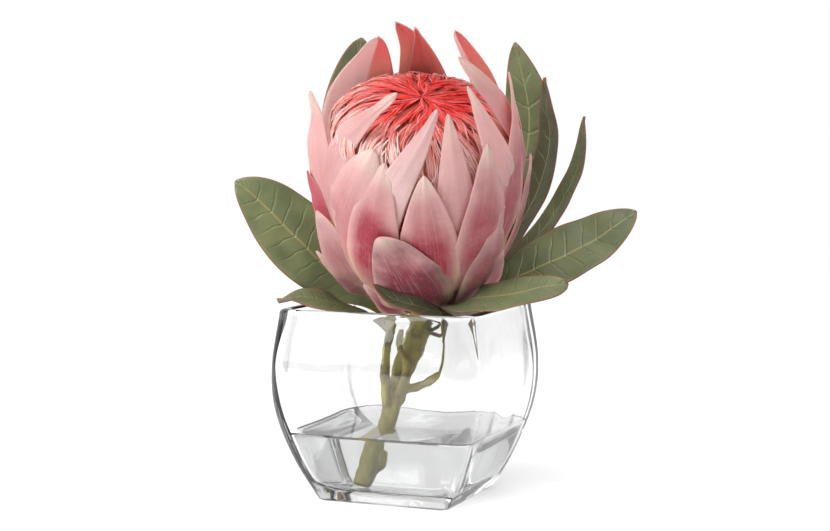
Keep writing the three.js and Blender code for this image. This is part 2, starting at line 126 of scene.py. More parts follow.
class Curve:
    """A smooth line that passes through a few points, evenly measured along its length."""

    SAMPLES = 400
    LOOK = 0.01

    def __init__(self, points: Sequence[Sequence[float]]) -> None:
        """Sample the line through the points.

        Args:
            points: The points, in order, each of three numbers.
        """
        given = np.array(points, float)
        ends = [2 * given[0] - given[1], 2 * given[-1] - given[-2]]
        self.knots = np.vstack([ends[0], given, ends[1]])
        shares = np.linspace(0, 1, self.SAMPLES)
        self.samples = np.array([self._between(share) for share in shares])
        steps = np.linalg.norm(np.diff(self.samples, axis=0), axis=1)
        self.lengths = np.concatenate([[0], np.cumsum(steps)])

    def _between(self, share: float) -> Numbers:
        """Find a point of the line, by centripetal spacing of the knots.

        Args:
            share: The share of the way, from the first knot to the last.

        Returns:
            The point.
        """
        spans = len(self.knots) - 3
        place = min(share * spans, spans - 1e-9)
        first = int(place)
        p = self.knots[first : first + 4]
        gaps = np.maximum(np.linalg.norm(np.diff(p, axis=0), axis=1) ** 0.5, 1e-4)
        t = np.concatenate([[0], np.cumsum(gaps)])
        at = t[1] + (place - first) * gaps[1]

        def lerp(a: Numbers, b: Numbers, low: float, high: float) -> Numbers:
            """Return the point between a, at low, and b, at high."""
            return a + (b - a) * ((at - low) / (high - low))

        a = [lerp(p[i], p[i + 1], t[i], t[i + 1]) for i in range(3)]
        b = [lerp(a[i], a[i + 1], t[i], t[i + 2]) for i in range(2)]
        return lerp(b[0], b[1], t[1], t[2])

    def spaced(self, shares: Numbers) -> Numbers:
        """Return the points at shares of the line's length."""
        wanted = np.clip(shares, 0, 1) * self.lengths[-1]
        return np.stack([np.interp(wanted, self.lengths, self.samples[:, i]) for i in range(3)], -1)

    def tangents(self, shares: Numbers) -> Numbers:
        """Return the unit directions of travel at shares of the line's length."""
        ahead, behind = np.minimum(shares + self.LOOK, 1), np.maximum(shares - self.LOOK, 0)
        return unit(self.spaced(ahead) - self.spaced(behind))


class Shells:
    """The vertices, faces and painted values of the shells that make up one piece."""

    def __init__(self) -> None:
        """Start with no shells."""
        self.points: list[Numbers] = []
        self.faces: list[list[int]] = []
        self.values: dict[str, list[Numbers]] = {}
        self.count = 0

    def add(self, points: Numbers, faces: Numbers | list, **values: Numbers) -> None:
        """Add one shell.

        Args:
            points: Its points in millimetres, one row each.
            faces: Rows of indices into the points.
            **values: A number for each point, by the name that materials read.
        """
        self.points.append(points)
        self.faces += [[index + self.count for index in face] for face in faces]
        for name, numbers in values.items():
            self.values.setdefault(name, []).append(numbers)
        self.count += len(points)

    def add_sheet(self, grid: Numbers, thickness: Numbers, **values: Numbers) -> None:
        """Add a thin closed shell on both sides of a grid of points.

        Args:
            grid: The middle of the sheet, as rows of points.
            thickness: The thickness at each grid point.
            **values: A number for each grid point, by name.
        """
        rows, columns = grid.shape[:2]
        across, along = np.gradient(grid, axis=1), np.gradient(grid, axis=0)
        offset = unit(np.cross(across, along)) * (thickness[..., None] / 2)
        points = np.concatenate([(grid + offset).reshape(-1, 3), (grid - offset).reshape(-1, 3)])
        index = np.arange(rows * columns).reshape(rows, columns)
        below = index + rows * columns
        faces = [
            np.stack([index[:-1, :-1], index[:-1, 1:], index[1:, 1:], index[1:, :-1]], -1),
            np.stack([below[:-1, :-1], below[1:, :-1], below[1:, 1:], below[:-1, 1:]], -1),
            np.stack([index[:-1, 0], index[1:, 0], below[1:, 0], below[:-1, 0]], -1),
            np.stack([index[1:, -1], index[:-1, -1], below[:-1, -1], below[1:, -1]], -1),
            np.stack([index[0, 1:], index[0, :-1], below[0, :-1], below[0, 1:]], -1),
            np.stack([index[-1, :-1], index[-1, 1:], below[-1, 1:], below[-1, :-1]], -1),
        ]
        sides = np.concatenate([np.zeros(rows * columns), np.ones(rows * columns)])
        doubled = {name: np.tile(numbers.reshape(-1), 2) for name, numbers in values.items()}
        every = np.concatenate([face.reshape(-1, 4) for face in faces]).tolist()
        self.add(points, every, under=sides, **doubled)

    def add_loft(self, rings: Numbers, **values: Numbers) -> None:
        """Add a closed shell through rings of points, with a flat end at each side.

        Args:
            rings: The rings, in order, all with the same number of points.
            **values: A number for each ring point, by name.
        """
        levels, count = rings.shape[:2]
        index = np.arange(levels * count).reshape(levels, count)
        after = np.roll(index, -1, axis=1)
        walls = np.stack([index[:-1], after[:-1], after[1:], index[1:]], -1).reshape(-1, 4)
        ends = [index[0, ::-1].tolist(), index[-1].tolist()]
        flat = {name: numbers.reshape(-1) for name, numbers in values.items()}
        self.add(rings.reshape(-1, 3), walls.tolist() + ends, **flat)

    def piece(self, name: str, material: bpy.types.Material) -> bpy.types.Object:
        """Make the object, smooth and in metres.

        Args:
            name: The object's name.
            material: Its material.

        Returns:
            The new object, in the scene.
        """
        mesh = bpy.data.meshes.new(name)
        mesh.from_pydata((np.concatenate(self.points) * MM).tolist(), [], self.faces)
        for label, parts in self.values.items():
            attribute = mesh.attributes.new(label, "FLOAT", "POINT")
            attribute.data.foreach_set("value", np.concatenate(parts).astype(np.float32))
        mesh.shade_smooth()
        mesh.materials.append(material)
        made = bpy.data.objects.new(name, mesh)
        bpy.context.scene.collection.objects.link(made)
        return made


class Nodes:
    """A short way to write a material's nodes."""

    def __init__(self, name: str) -> None:
        """Start a material with nothing but its output.

        Args:
            name: The material's name.
        """
        self.material = bpy.data.materials.new(name)
        self.material.use_nodes = True
        self.tree = self.material.node_tree
        self.tree.nodes.clear()
        self.output = self.tree.nodes.new("ShaderNodeOutputMaterial")

    def link(self, source: object, target: bpy.types.NodeSocket) -> None:
        """Join a socket to an input, or set the input to a plain value.

        Args:
            source: The socket, number or colour.
            target: The input.
        """
        if isinstance(source, bpy.types.NodeSocket):
            self.tree.links.new(source, target)
        elif target.type == "RGBA" and len(source) == 3:
            target.default_value = (*source, 1)
        else:
            target.default_value = source

    def add(self, kind: str, **inputs: object) -> bpy.types.Node:
        """Add a node.

        Args:
            kind: The node's kind, without its common start.
            **inputs: Sockets or values by input name, with spaces as underscores.

        Returns:
            The node.
        """
        node = self.tree.nodes.new("ShaderNode" + kind)
        for name, source in inputs.items():
            self.link(source, node.inputs[name.replace("_", " ")])
        return node

    def value(self, name: str) -> bpy.types.NodeSocket:
        """Read a number that the mesh carries.

        Args:
            name: The name of the mesh's attribute.

        Returns:
            The number's socket.
        """
        node = self.add("Attribute")
        node.attribute_name = name
        return node.outputs["Fac"]

    def place(self) -> bpy.types.NodeSocket:
        """Return the point's own place in the object, in metres."""
        return self.add("TexCoord").outputs["Object"]

    def maths(self, way: str, *inputs: object) -> bpy.types.NodeSocket:
        """Return what an operation makes of up to three numbers.

        Args:
            way: The operation's name.
            *inputs: Sockets or numbers.

        Returns:
            The result's socket.
        """
        node = self.add("Math")
        node.operation = way
        for source, target in zip(inputs, node.inputs, strict=False):
            self.link(source, target)
        return node.outputs[0]

    def times(self, first: object, second: object) -> bpy.types.NodeSocket:
        """Return the product of two numbers."""
        return self.maths("MULTIPLY", first, second)

    def span(self, number: object, none_at: float, full_at: float) -> bpy.types.NodeSocket:
        """Return 0 on one side, 1 on the other, and a smooth passage between.

        Args:
            number: The socket to read.
            none_at: The number up to which the result is 0.
            full_at: The number from which it is 1, which may be the smaller one.

        Returns:
            The result's socket.
        """
        node = self.add("MapRange")
        node.interpolation_type = "SMOOTHSTEP"
        for source, target in zip((number, none_at, full_at), node.inputs, strict=False):
            self.link(source, target)
        return node.outputs["Result"]

    def vector(self, x: object, y: object, z: object) -> bpy.types.NodeSocket:
        """Return a vector made of three numbers."""
        return self.add("CombineXYZ", X=x, Y=y, Z=z).outputs[0]

    def noise(self, where: object, scale: float, detail: float, rough: float = 0.55) -> bpy.types.NodeSocket:
        """Return cloudy noise from 0 to 1.

        Args:
            where: The coordinates.
            scale: How many clouds there are in one unit.
            detail: How many finer layers it has.
            rough: How strong the finer layers are.

        Returns:
            The noise's socket.
        """
        node = self.add("TexNoise", Scale=scale, Detail=detail, Roughness=rough, Vector=where)
        return node.outputs["Fac"]

    def mix(self, share: object, first: object, second: object) -> bpy.types.NodeSocket:
        """Mix two colours.

        Args:
            share: How much of the second there is, from 0 to 1.
            first: The first colour.
            second: The second colour.

        Returns:
            The mixed colour's socket.
        """
        node = self.add("Mix")
        node.data_type = "RGBA"
        for source, target in ((share, 0), (first, 6), (second, 7)):
            self.link(source, node.inputs[target])
        return node.outputs[2]

    def wash(self, colour: object, over: Colour, where: object, strength: float) -> bpy.types.NodeSocket:
        """Lay a thin coat of one colour over another.

        Args:
            colour: The socket of the colour so far.
            over: The colour of the coat.
            where: The socket that says where it lies, from 0 to 1.
            strength: How much of the coat shows where it lies in full.

        Returns:
            The new colour's socket.
        """
        return self.mix(self.times(where, strength), colour, over)

    def ramp(self, number: object, *stops: tuple[float, Colour]) -> bpy.types.NodeSocket:
        """Return a colour read from a row of colours.

        Args:
            number: The socket to read, from 0 to 1.
            *stops: Places in the row, each with its colour.

        Returns:
            The colour's socket.
        """
        node = self.add("ValToRGB", Fac=number)
        node.color_ramp.interpolation = "EASE"
        elements = node.color_ramp.elements
        while len(elements) < len(stops):
            elements.new(0.5)
        for element, (place, colour) in zip(elements, sorted(stops), strict=True):
            element.position = place
            element.color = (*colour, 1)
        return node.outputs[0]

    def bump(self, height: object, distance: float) -> bpy.types.NodeSocket:
        """Return normals that follow a height, of a depth in metres."""
        return self.add("Bump", Distance=distance, Height=height).outputs[0]

    def both(self, share: object, first: bpy.types.Node, second: bpy.types.Node) -> bpy.types.Node:
        """Mix two shaders.

        Args:
            share: How much of the second there is.
            first: The first shader.
            second: The second shader.

        Returns:
            The mixing node.
        """
        node = self.add("MixShader")
        for source, target in zip((share, first.outputs[0], second.outputs[0]), node.inputs, strict=True):
            self.link(source, target)
        return node

    def done(self, surface: bpy.types.Node) -> bpy.types.Material:
        """Give the material its surface and return it."""
        self.tree.links.new(surface.outputs[0], self.output.inputs["Surface"])
        return self.material


@dataclass(frozen=True)
class ClearFinish:
    """Glass or water: it bends light, and lets the lamps through."""

    name: str
    colour: Colour
    refraction: float
    waviness: float = 0.0
    wave_scale: float = 38.0
    wave_detail: float = 1.5
    shadow: Colour = (0.82, 0.82, 0.82)

    def material(self) -> bpy.types.Material:
        """Build the material.

        Returns:
            The material.
        """
        nodes = Nodes(self.name)
        uneven = nodes.noise(nodes.place(), self.wave_scale, self.wave_detail)
        clear = nodes.add(
            "BsdfPrincipled",
            Base_Color=self.colour,
            Roughness=0.0,
            IOR=self.refraction,
            Transmission_Weight=1.0,
            Normal=nodes.bump(uneven, self.waviness),
        )
        lamps = nodes.add("BsdfTransparent", Color=self.shadow)
        return nodes.done(nodes.both(nodes.add("LightPath").outputs["Is Shadow Ray"], clear, lamps))


@dataclass(frozen=True)
class StemFinish:
    """Olive bark, yellower where it stands in the water, with fine ridges along it."""

    bark: Colour = linear(152, 142, 50)
    shade: Colour = linear(102, 92, 38)
    wet: Colour = linear(114, 108, 6)
    scar: Colour = linear(134, 92, 44)
    scarred: float = 0.45
    water_level: float = 0.037
    damp_above: float = 0.012
    soaked_below: float = 0.004
    ridge_scale: float = 520.0
    ridge_stretch: float = 0.25
    cloud_scale: float = 90.0
    cloud_relief: float = 1.4
    patch_scale: float = 45.0
    roughness: float = 0.48
    relief: float = 0.0007

    def material(self) -> bpy.types.Material:
        """Build the material.

        Returns:
            The material.
        """
        nodes = Nodes("olive_bark")
        place = nodes.place()
        x, y, z = nodes.add("SeparateXYZ", Vector=place).outputs
        ridges = nodes.noise(nodes.vector(x, y, nodes.times(z, self.ridge_stretch)), self.ridge_scale, 4)
        clouds = nodes.noise(place, self.cloud_scale, 3)
        patches = nodes.noise(place, self.patch_scale, 2)
        wet = nodes.span(z, self.water_level + self.damp_above, self.water_level - self.soaked_below)
        colour = nodes.mix(nodes.span(clouds, 0.4, 0.68), self.bark, self.shade)
        colour = nodes.mix(wet, colour, self.wet)
        colour = nodes.wash(colour, self.scar, nodes.span(patches, 0.55, 0.7), self.scarred)
        height = nodes.maths("ADD", ridges, nodes.times(clouds, self.cloud_relief))
        bark = nodes.add(
            "BsdfPrincipled",
            Base_Color=colour,
            Roughness=self.roughness,
            Normal=nodes.bump(height, self.relief),
        )
        return nodes.done(bark)


@dataclass(frozen=True)
class LeafFinish:
    """A leathery grey-green leaf with pale veins, a brown underside, a thin red rim and painted shade."""

    top: Colour = linear(118, 126, 86)
    cloud: Colour = linear(96, 108, 74)
    vein: Colour = linear(150, 156, 118)
    midrib: Colour = linear(160, 154, 100)
    back: Colour = linear(138, 128, 98)
    back_cloud: Colour = linear(126, 98, 78)
    rim: Colour = linear(140, 66, 56)
    root: Colour = linear(128, 120, 52)
    shaded: Colour = linear(58, 50, 38)
    glow: Colour = linear(120, 140, 60)
    cloud_scale: float = 60.0
    pore_scale: float = 900.0
    wobble_scale: float = 120.0
    wobble: float = 0.5
    vein_pairs: float = 13.0
    vein_sweep: float = 0.85
    vein_width: float = 0.11
    vein_strength: float = 0.13
    midrib_strength: float = 0.7
    pore_strength: float = 0.18
    rim_strength: float = 0.8
    roughness: float = 0.46
    shine: float = 0.4
    relief: float = 0.0004
    through: float = 0.06

    def veins(self, nodes: Nodes, along: object, off: object, place: object) -> bpy.types.NodeSocket:
        """Draw the side veins, which sweep forwards from the midrib and fade before the rim.

        Args:
            nodes: The material's nodes.
            along: The share of the leaf's length.
            off: The share of the way from the midrib to the rim.
            place: The point's place.

        Returns:
            The socket that is 1 on a vein and 0 between.
        """
        wobble = nodes.times(nodes.noise(place, self.wobble_scale, 2), self.wobble)
        swept = nodes.maths("ADD", nodes.times(off, -self.vein_sweep), wobble)
        phase = nodes.maths("ADD", nodes.times(along, self.vein_pairs), swept)
        wave = nodes.maths("ABSOLUTE", nodes.maths("SUBTRACT", nodes.maths("FRACT", phase), 0.5))
        return nodes.times(nodes.span(wave, self.vein_width, 0.0), nodes.span(off, 0.97, 0.5))

    def material(self) -> bpy.types.Material:
        """Build the material.

        Returns:
            The material.
        """
        nodes = Nodes("leaf_green")
        along, off = nodes.value("along"), nodes.maths("ABSOLUTE", nodes.value("side"))
        place = nodes.place()
        clouds = nodes.noise(place, self.cloud_scale, 4)
        pores = nodes.noise(place, self.pore_scale, 3)
        vein = self.veins(nodes, along, off, place)
        colour = nodes.mix(nodes.span(clouds, 0.35, 0.7), self.top, self.cloud)
        behind = nodes.mix(nodes.span(clouds, 0.4, 0.65), self.back, self.back_cloud)
        colour = nodes.mix(nodes.value("under"), colour, behind)
        # Painted shade: leaves turned away from the lamps are darkened towards a dull brown-green, partly
        # their own browner tone.
        colour = nodes.mix(nodes.value("shade"), colour, self.shaded)
        colour = nodes.wash(colour, self.vein, vein, self.vein_strength)
        colour = nodes.wash(colour, self.midrib, nodes.span(off, 0.05, 0.015), self.midrib_strength)
        colour = nodes.mix(nodes.span(along, 0.2, 0.1), colour, self.root)
        colour = nodes.wash(colour, self.vein, nodes.span(pores, 0.5, 0.8), self.pore_strength)
        edge = nodes.times(nodes.span(nodes.value("inset"), 0.8, 0.35), nodes.span(along, 0.12, 0.3))
        colour = nodes.wash(colour, self.rim, edge, self.rim_strength)
        height = nodes.maths("SUBTRACT", nodes.times(pores, 0.25), nodes.times(vein, 0.8))
        blade = nodes.add(
            "BsdfPrincipled",
            Base_Color=colour,
            Roughness=self.roughness,
            Specular_IOR_Level=self.shine,
            Normal=nodes.bump(height, self.relief),
        )
        return nodes.done(nodes.both(self.through, blade, nodes.add("BsdfTranslucent", Color=self.glow)))


@dataclass(frozen=True)
class BractFinish:
    """A soft pink bract, cream at its foot and tip, flushed with rose and painted shade, coral on its
    inside.
    """

    foot: Colour = linear(226, 212, 172)
    low: Colour = linear(222, 178, 166)
    pink: Colour = linear(230, 184, 182)
    high: Colour = linear(234, 196, 192)
    tip: Colour = linear(240, 222, 210)
    flush_and_shade: Colour = linear(174, 66, 80)
    mauve: Colour = linear(116, 62, 74)
    rose: Colour = linear(206, 84, 104)
    streak: Colour = linear(236, 212, 210)
    crease: Colour = linear(190, 104, 110)
    # Painted shade: the orange-brown of the shadow in the gaps between overlapping bracts.
    painted_gap_shade: Colour = linear(172, 92, 50)
    edge: Colour = linear(232, 192, 184)
    inner_foot: Colour = linear(250, 214, 176)
    inner_low: Colour = linear(250, 176, 156)
    inner: Colour = linear(240, 124, 124)
    # Painted light: these two colours also make the painted light on the insides of the back bracts; the
    # first also marks real pale streaks.
    inner_pale: Colour = linear(250, 222, 194)
    inner_painted_light: Colour = linear(240, 178, 156)
    folded: Colour = linear(250, 222, 218)
    cloud_scale: float = 55.0
    mottle_scale: float = 420.0
    grain_scale: float = 1500.0
    streaks_across: float = 9.0
    streaks_along: float = 1.6
    streak_scale: float = 2.2
    streak_roughness: float = 0.65
    roughness: float = 0.6
    shine: float = 0.18
    velvet: float = 0.04
    relief: float = 0.0005
    through: float = 0.4

    def outside(self, nodes: Nodes, streaks: object) -> bpy.types.NodeSocket:
        """Build the outer face's colour.

        Args:
            nodes: The material's nodes.
            streaks: Noise drawn out along the bract.

        Returns:
            The colour's socket.
        """
        along, off = nodes.value("along"), nodes.maths("ABSOLUTE", nodes.value("side"))
        clouds = nodes.noise(nodes.place(), self.cloud_scale, 3)
        mottle = nodes.noise(nodes.place(), self.mottle_scale, 4)
        colour = nodes.ramp(
            along, (0.0, self.foot), (0.3, self.low), (0.5, self.pink), (0.85, self.high), (0.965, self.tip)
        )
        # Painted shade: the rose flush is deepened in each bract's lower middle, most on the front bracts,
        # to stand in for the shade that falls there; it is partly the bract's real rose.
        body = nodes.times(nodes.span(along, 0.12, 0.5), nodes.span(along, 1.02, 0.55))
        centre = nodes.times(body, nodes.span(off, 1.15, 0.25))
        patchy = nodes.maths("MULTIPLY_ADD", nodes.span(clouds, 0.3, 0.65), 0.25, 0.83)
        blush = nodes.times(nodes.value("blush"), nodes.times(centre, patchy))
        colour = nodes.mix(blush, colour, self.flush_and_shade)
        mauve = nodes.times(nodes.value("mauve"), nodes.span(clouds, 0.15, 0.75))
        colour = nodes.mix(nodes.times(mauve, nodes.span(along, 1.02, 0.9)), colour, self.mauve)
        colour = nodes.wash(colour, self.rose, nodes.value("rose"), 0.8)
        colour = nodes.mix(nodes.value("fair"), colour, self.streak)
        pale = nodes.times(nodes.span(off, 0.56, 1.0), nodes.span(along, 0.7, 0.25))
        colour = nodes.wash(colour, self.foot, pale, 0.65)
        # Painted shade: an orange-brown line along the edges near the foot stands in for the shadow between
        # overlapping bracts.
        painted_gap_shade = nodes.times(nodes.span(off, 0.88, 1.0), nodes.span(along, 0.5, 0.2))
        colour = nodes.wash(colour, self.painted_gap_shade, painted_gap_shade, 0.75)
        colour = nodes.wash(colour, self.streak, nodes.span(streaks, 0.5, 0.78), 0.3)
        colour = nodes.wash(colour, self.crease, nodes.span(streaks, 0.5, 0.25), 0.25)
        colour = nodes.wash(colour, self.streak, nodes.span(mottle, 0.45, 0.75), 0.08)
        return nodes.wash(colour, self.crease, nodes.span(mottle, 0.5, 0.25), 0.1)

    def inside(self, nodes: Nodes, streaks: object) -> bpy.types.NodeSocket:
        """Build the inner face's colour.

        Args:
            nodes: The material's nodes.
            streaks: Noise drawn out along the bract.

        Returns:
            The colour's socket.
        """
        along = nodes.value("along")
        colour = nodes.ramp(along, (0.0, self.inner_foot), (0.5, self.inner_low), (0.85, self.inner))
        # Painted light: a paler ramp, mixed in by glow, stands in for light falling into and shining through
        # the insides of the back bracts.
        light = nodes.ramp(along, (0.4, self.inner_pale), (0.82, self.inner_painted_light), (0.97, self.inner))
        colour = nodes.mix(nodes.value("glow"), colour, light)
        colour = nodes.wash(colour, self.inner_pale, nodes.span(streaks, 0.5, 0.8), 0.35)
        return nodes.mix(nodes.span(nodes.value("fold"), 0.02, 0.16), colour, self.folded)

    def material(self) -> bpy.types.Material:
        """Build the material.

        Returns:
            The material.
        """
        nodes = Nodes("bract_pink")
        grain = nodes.noise(nodes.place(), self.grain_scale, 2)
        across = nodes.times(nodes.value("side"), self.streaks_across)
        drawn_out = nodes.times(nodes.value("along"), self.streaks_along)
        where = nodes.vector(across, drawn_out, nodes.value("tint"))
        streaks = nodes.noise(where, self.streak_scale, 5, self.streak_roughness)
        colour = nodes.mix(nodes.value("under"), self.outside(nodes, streaks), self.inside(nodes, streaks))
        colour = nodes.wash(colour, self.edge, nodes.span(nodes.value("inset"), 0.8, 0.2), 0.5)
        blade = nodes.add(
            "BsdfPrincipled",
            Base_Color=colour,
            Roughness=self.roughness,
            Specular_IOR_Level=self.shine,
            Sheen_Weight=self.velvet,
            Normal=nodes.bump(nodes.maths("MULTIPLY_ADD", grain, 0.12, streaks), self.relief),
        )
        return nodes.done(nodes.both(self.through, blade, nodes.add("BsdfTranslucent", Color=colour)))


@dataclass(frozen=True)
class FloretFinish:
    """Silky florets: red in the heart of the dome, coral and nearly white towards its edge."""

    heart: Colour = linear(248, 44, 34)
    outer: Colour = linear(252, 194, 182)
    root: Colour = linear(214, 70, 56)
    outer_root: Colour = linear(246, 174, 158)
    pale: Colour = linear(255, 242, 236)
    roughness: float = 0.5
    shine: float = 0.4
    velvet: float = 0.2
    through: float = 0.5

    def material(self) -> bpy.types.Material:
        """Build the material.

        Returns:
            The material.
        """
        nodes = Nodes("floret_coral")
        along, out = nodes.value("along"), nodes.value("out")
        colour = nodes.mix(out, self.heart, self.outer)
        root = nodes.mix(out, self.root, self.outer_root)
        colour = nodes.mix(nodes.span(along, 0.3, 0.0), colour, root)
        paler = nodes.times(nodes.value("tint"), nodes.span(out, -0.6, 0.5))
        colour = nodes.mix(nodes.times(nodes.span(along, 0.1, 0.6), paler), colour, self.pale)
        silk = nodes.add(
            "BsdfPrincipled",
            Base_Color=colour,
            Roughness=self.roughness,
            Specular_IOR_Level=self.shine,
            Sheen_Weight=self.velvet,
        )
        return nodes.done(nodes.both(self.through, silk, nodes.add("BsdfTranslucent", Color=colour)))


@dataclass(frozen=True)
class FloorFinish:
    """A plain pale floor, faintly uneven, that glows a little, most away from the vase."""

    colour: Colour = (0.8, 0.8, 0.8)
    cloud: Colour = (0.75, 0.75, 0.75)
    cloud_scale: float = 3.0
    cloudy: float = 0.05
    glow: float = 0.3
    glow_reach: tuple[float, float] = (-0.6, 0.5)
    roughness: float = 0.9
    shine: float = 0.1

    def material(self) -> bpy.types.Material:
        """Build the material.

        Returns:
            The material.
        """
        nodes = Nodes("pale_floor")
        clouds = nodes.noise(nodes.place(), self.cloud_scale, 2)
        shade = nodes.mix(nodes.times(clouds, self.cloudy), self.colour, self.cloud)
        away = nodes.add("VectorMath")
        away.operation = "LENGTH"
        nodes.link(nodes.place(), away.inputs[0])
        glow = nodes.times(nodes.span(away.outputs["Value"], *self.glow_reach), self.glow)
        floor = nodes.add(
            "BsdfPrincipled",
            Base_Color=shade,
            Roughness=self.roughness,
            Specular_IOR_Level=self.shine,
            Emission_Color=(1.0, 1.0, 1.0),
            Emission_Strength=glow,
        )
        return nodes.done(floor)


@dataclass
class Vase:
    """The square glass vase and the water in it, in millimetres.

    The profile gives the outside's half width and corner radius at a height. The underside
    and the foot are roundings, the one round the bottom and the other between the inside
    and the floor: heights, each with its distance inwards. The surface gives the distances
    of the water's rings from the glass. Waves have a seed, a size and a share of the pour.
    """

    height: float = 104.0
    floor: float = 8.0
    wall: float = 4.2
    rim_round: float = 1.6
    corner_gain: float = 0.6
    least_corner: float = 1.6
    corner_points: int = 11
    side_points: int = 8
    profile: tuple[tuple[float, float, float], ...] = (
        (37, 2.5, 0), (48.5, 6.5, 24), (56.8, 10.5, 50), (58.4, 12, 72), (54, 9, 104),
    )
    underside: tuple[tuple[float, float], ...] = ((0, 1.2), (0.25, 0.5), (0.8, 0.1))
    foot: tuple[tuple[float, float], ...] = (
        (6.5, 0), (4.2, 0.35), (2.6, 1.0), (1.4, 2.0), (0.6, 3.3), (0.15, 4.8), (0, 6.5),
    )
    water_level: float = 37.0
    surface: tuple[float, ...] = (0.12, 0.4, 0.9, 1.6, 2.6, 3.8, 5.5, 8.0)
    meniscus: float = 1.7
    meniscus_reach: float = 1.3
    soak: float = 0.15
    pour: float = 0.6
    waves: tuple[tuple[int, float, float], ...] = ((21, 26, 1.0), (22, 11, 0.25))
    pour_stretch: float = 0.3
    pour_width: float = 50.0
    even_rim: float = 6.0
    even_fade: float = 20.0
    glass: ClearFinish = ClearFinish("vase_glass", (0.868, 0.872, 0.87), refraction=1.5, waviness=0.0002)
    water: ClearFinish = ClearFinish("clear_water", (0.985, 0.99, 0.99), refraction=1.33)
    curve: Curve = field(init=False)

    def __post_init__(self) -> None:
        """Fit the curve of the outside."""
        self.curve = Curve(self.profile)

    def ring(self, z: float, inset: float) -> Numbers:
        """Return the outline at a height.

        Args:
            z: The height.
            inset: How far inside the glass's outer face it lies.

        Returns:
            The points of the outline, anticlockwise from above.
        """
        half = float(np.interp(z, self.curve.samples[:, 2], self.curve.samples[:, 0])) - inset
        corner = float(np.interp(z, self.curve.samples[:, 2], self.curve.samples[:, 1]))
        corner = max(corner + inset * self.corner_gain, self.least_corner)
        angles = np.linspace(0, math.pi / 2, self.corner_points)
        middle = half - corner
        arc = np.stack([middle + corner * np.cos(angles), middle + corner * np.sin(angles)], -1)
        straight = np.linspace(0, 1, self.side_points)[1:-1, None]
        side = arc[-1] + (np.array([-arc[0][1], arc[0][0]]) - arc[-1]) * straight
        quarter = np.vstack([arc, side])
        turns = [np.array([[c, s], [-s, c]]) for c, s in ((1, 0), (0, 1), (-1, 0), (0, -1))]
        flat = np.vstack([quarter @ turn for turn in turns])
        return np.column_stack([flat, np.full(len(flat), z)])

    def glass_rings(self) -> Numbers:
        """Lay out the glass: up the outside, over the rim and down the inside.

        Returns:
            The rings, in order.
        """
        shoulder = self.height - self.rim_round
        middle = self.wall / 2
        rings = [self.ring(z, inset) for z, inset in self.underside]
        rings += [self.ring(z, 0) for z in np.linspace(2.0, shoulder, 46)]
        for angle in np.linspace(0, math.pi, 9)[1:-1]:
            inset = middle - middle * math.cos(angle)
            rings.append(self.ring(shoulder + self.rim_round * math.sin(angle), inset))
        outside = len(rings)
        bottom = self.floor + self.foot[0][0]
        rings += [self.ring(z, self.wall) for z in np.linspace(shoulder, bottom, 42)]
        rings += [self.ring(self.floor + above, self.wall + inset) for above, inset in self.foot[1:]]
        made = np.array(rings)
        return np.concatenate([made[:outside], self.uneven(made[outside:])])

    def uneven(self, rings: Numbers) -> Numbers:
        """Give rings the slow waves of poured glass, below the rim only.

        Args:
            rings: The rings of an inside face.

        Returns:
            The waved rings.
        """
        share = eased((self.height - self.even_rim - rings[..., 2]) / self.even_fade)[..., None]
        stretched = rings * np.array([1, 1, self.pour_stretch])
        waves = [Ripple(seed, size).at(stretched) * self.pour * part for seed, size, part in self.waves]
        return rings * (1 + share * sum(waves)[..., None] / self.pour_width * np.array([1, 1, 0]))

    def water_rings(self) -> Numbers:
        """Lay out the water: up its sides and in over its surface.

        Returns:
            The rings, in order.
        """
        out = self.wall - self.soak
        low, top = self.floor + self.foot[0][0] + 1, self.water_level
        rings = [self.ring(self.floor + above - self.soak, out + inset) for above, inset in self.foot[::-1]]
        rings += [self.ring(z, out) for z in np.linspace(low, top + self.meniscus, 20)]
        for inset in self.surface:
            rise = self.meniscus * math.exp(-inset / self.meniscus_reach)
            rings.append(self.ring(top + rise, out + inset))
        return self.uneven(np.array(rings))

    def build(self) -> list[bpy.types.Object]:
        """Make the glass and the water.

        Returns:
            The two objects.
        """
        made = []
        for name, rings, finish, node, slot in (
            ("vase_glass", self.glass_rings(), self.glass, "vase", "vase_glass"),
            ("water_body", self.water_rings(), self.water, "water", "water"),
        ):
            shells = Shells()
            shells.add_loft(rings)
            piece = shells.piece(name, finish.material())
            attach(piece, "root")
            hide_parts(node)
            made.append(piece)
        return made


@dataclass(frozen=True)
class Branch:
    """A part of the stem: a line of points, and radii evenly spaced along it."""

    path: tuple[tuple[float, float, float], ...]
    radii: tuple[float, ...]


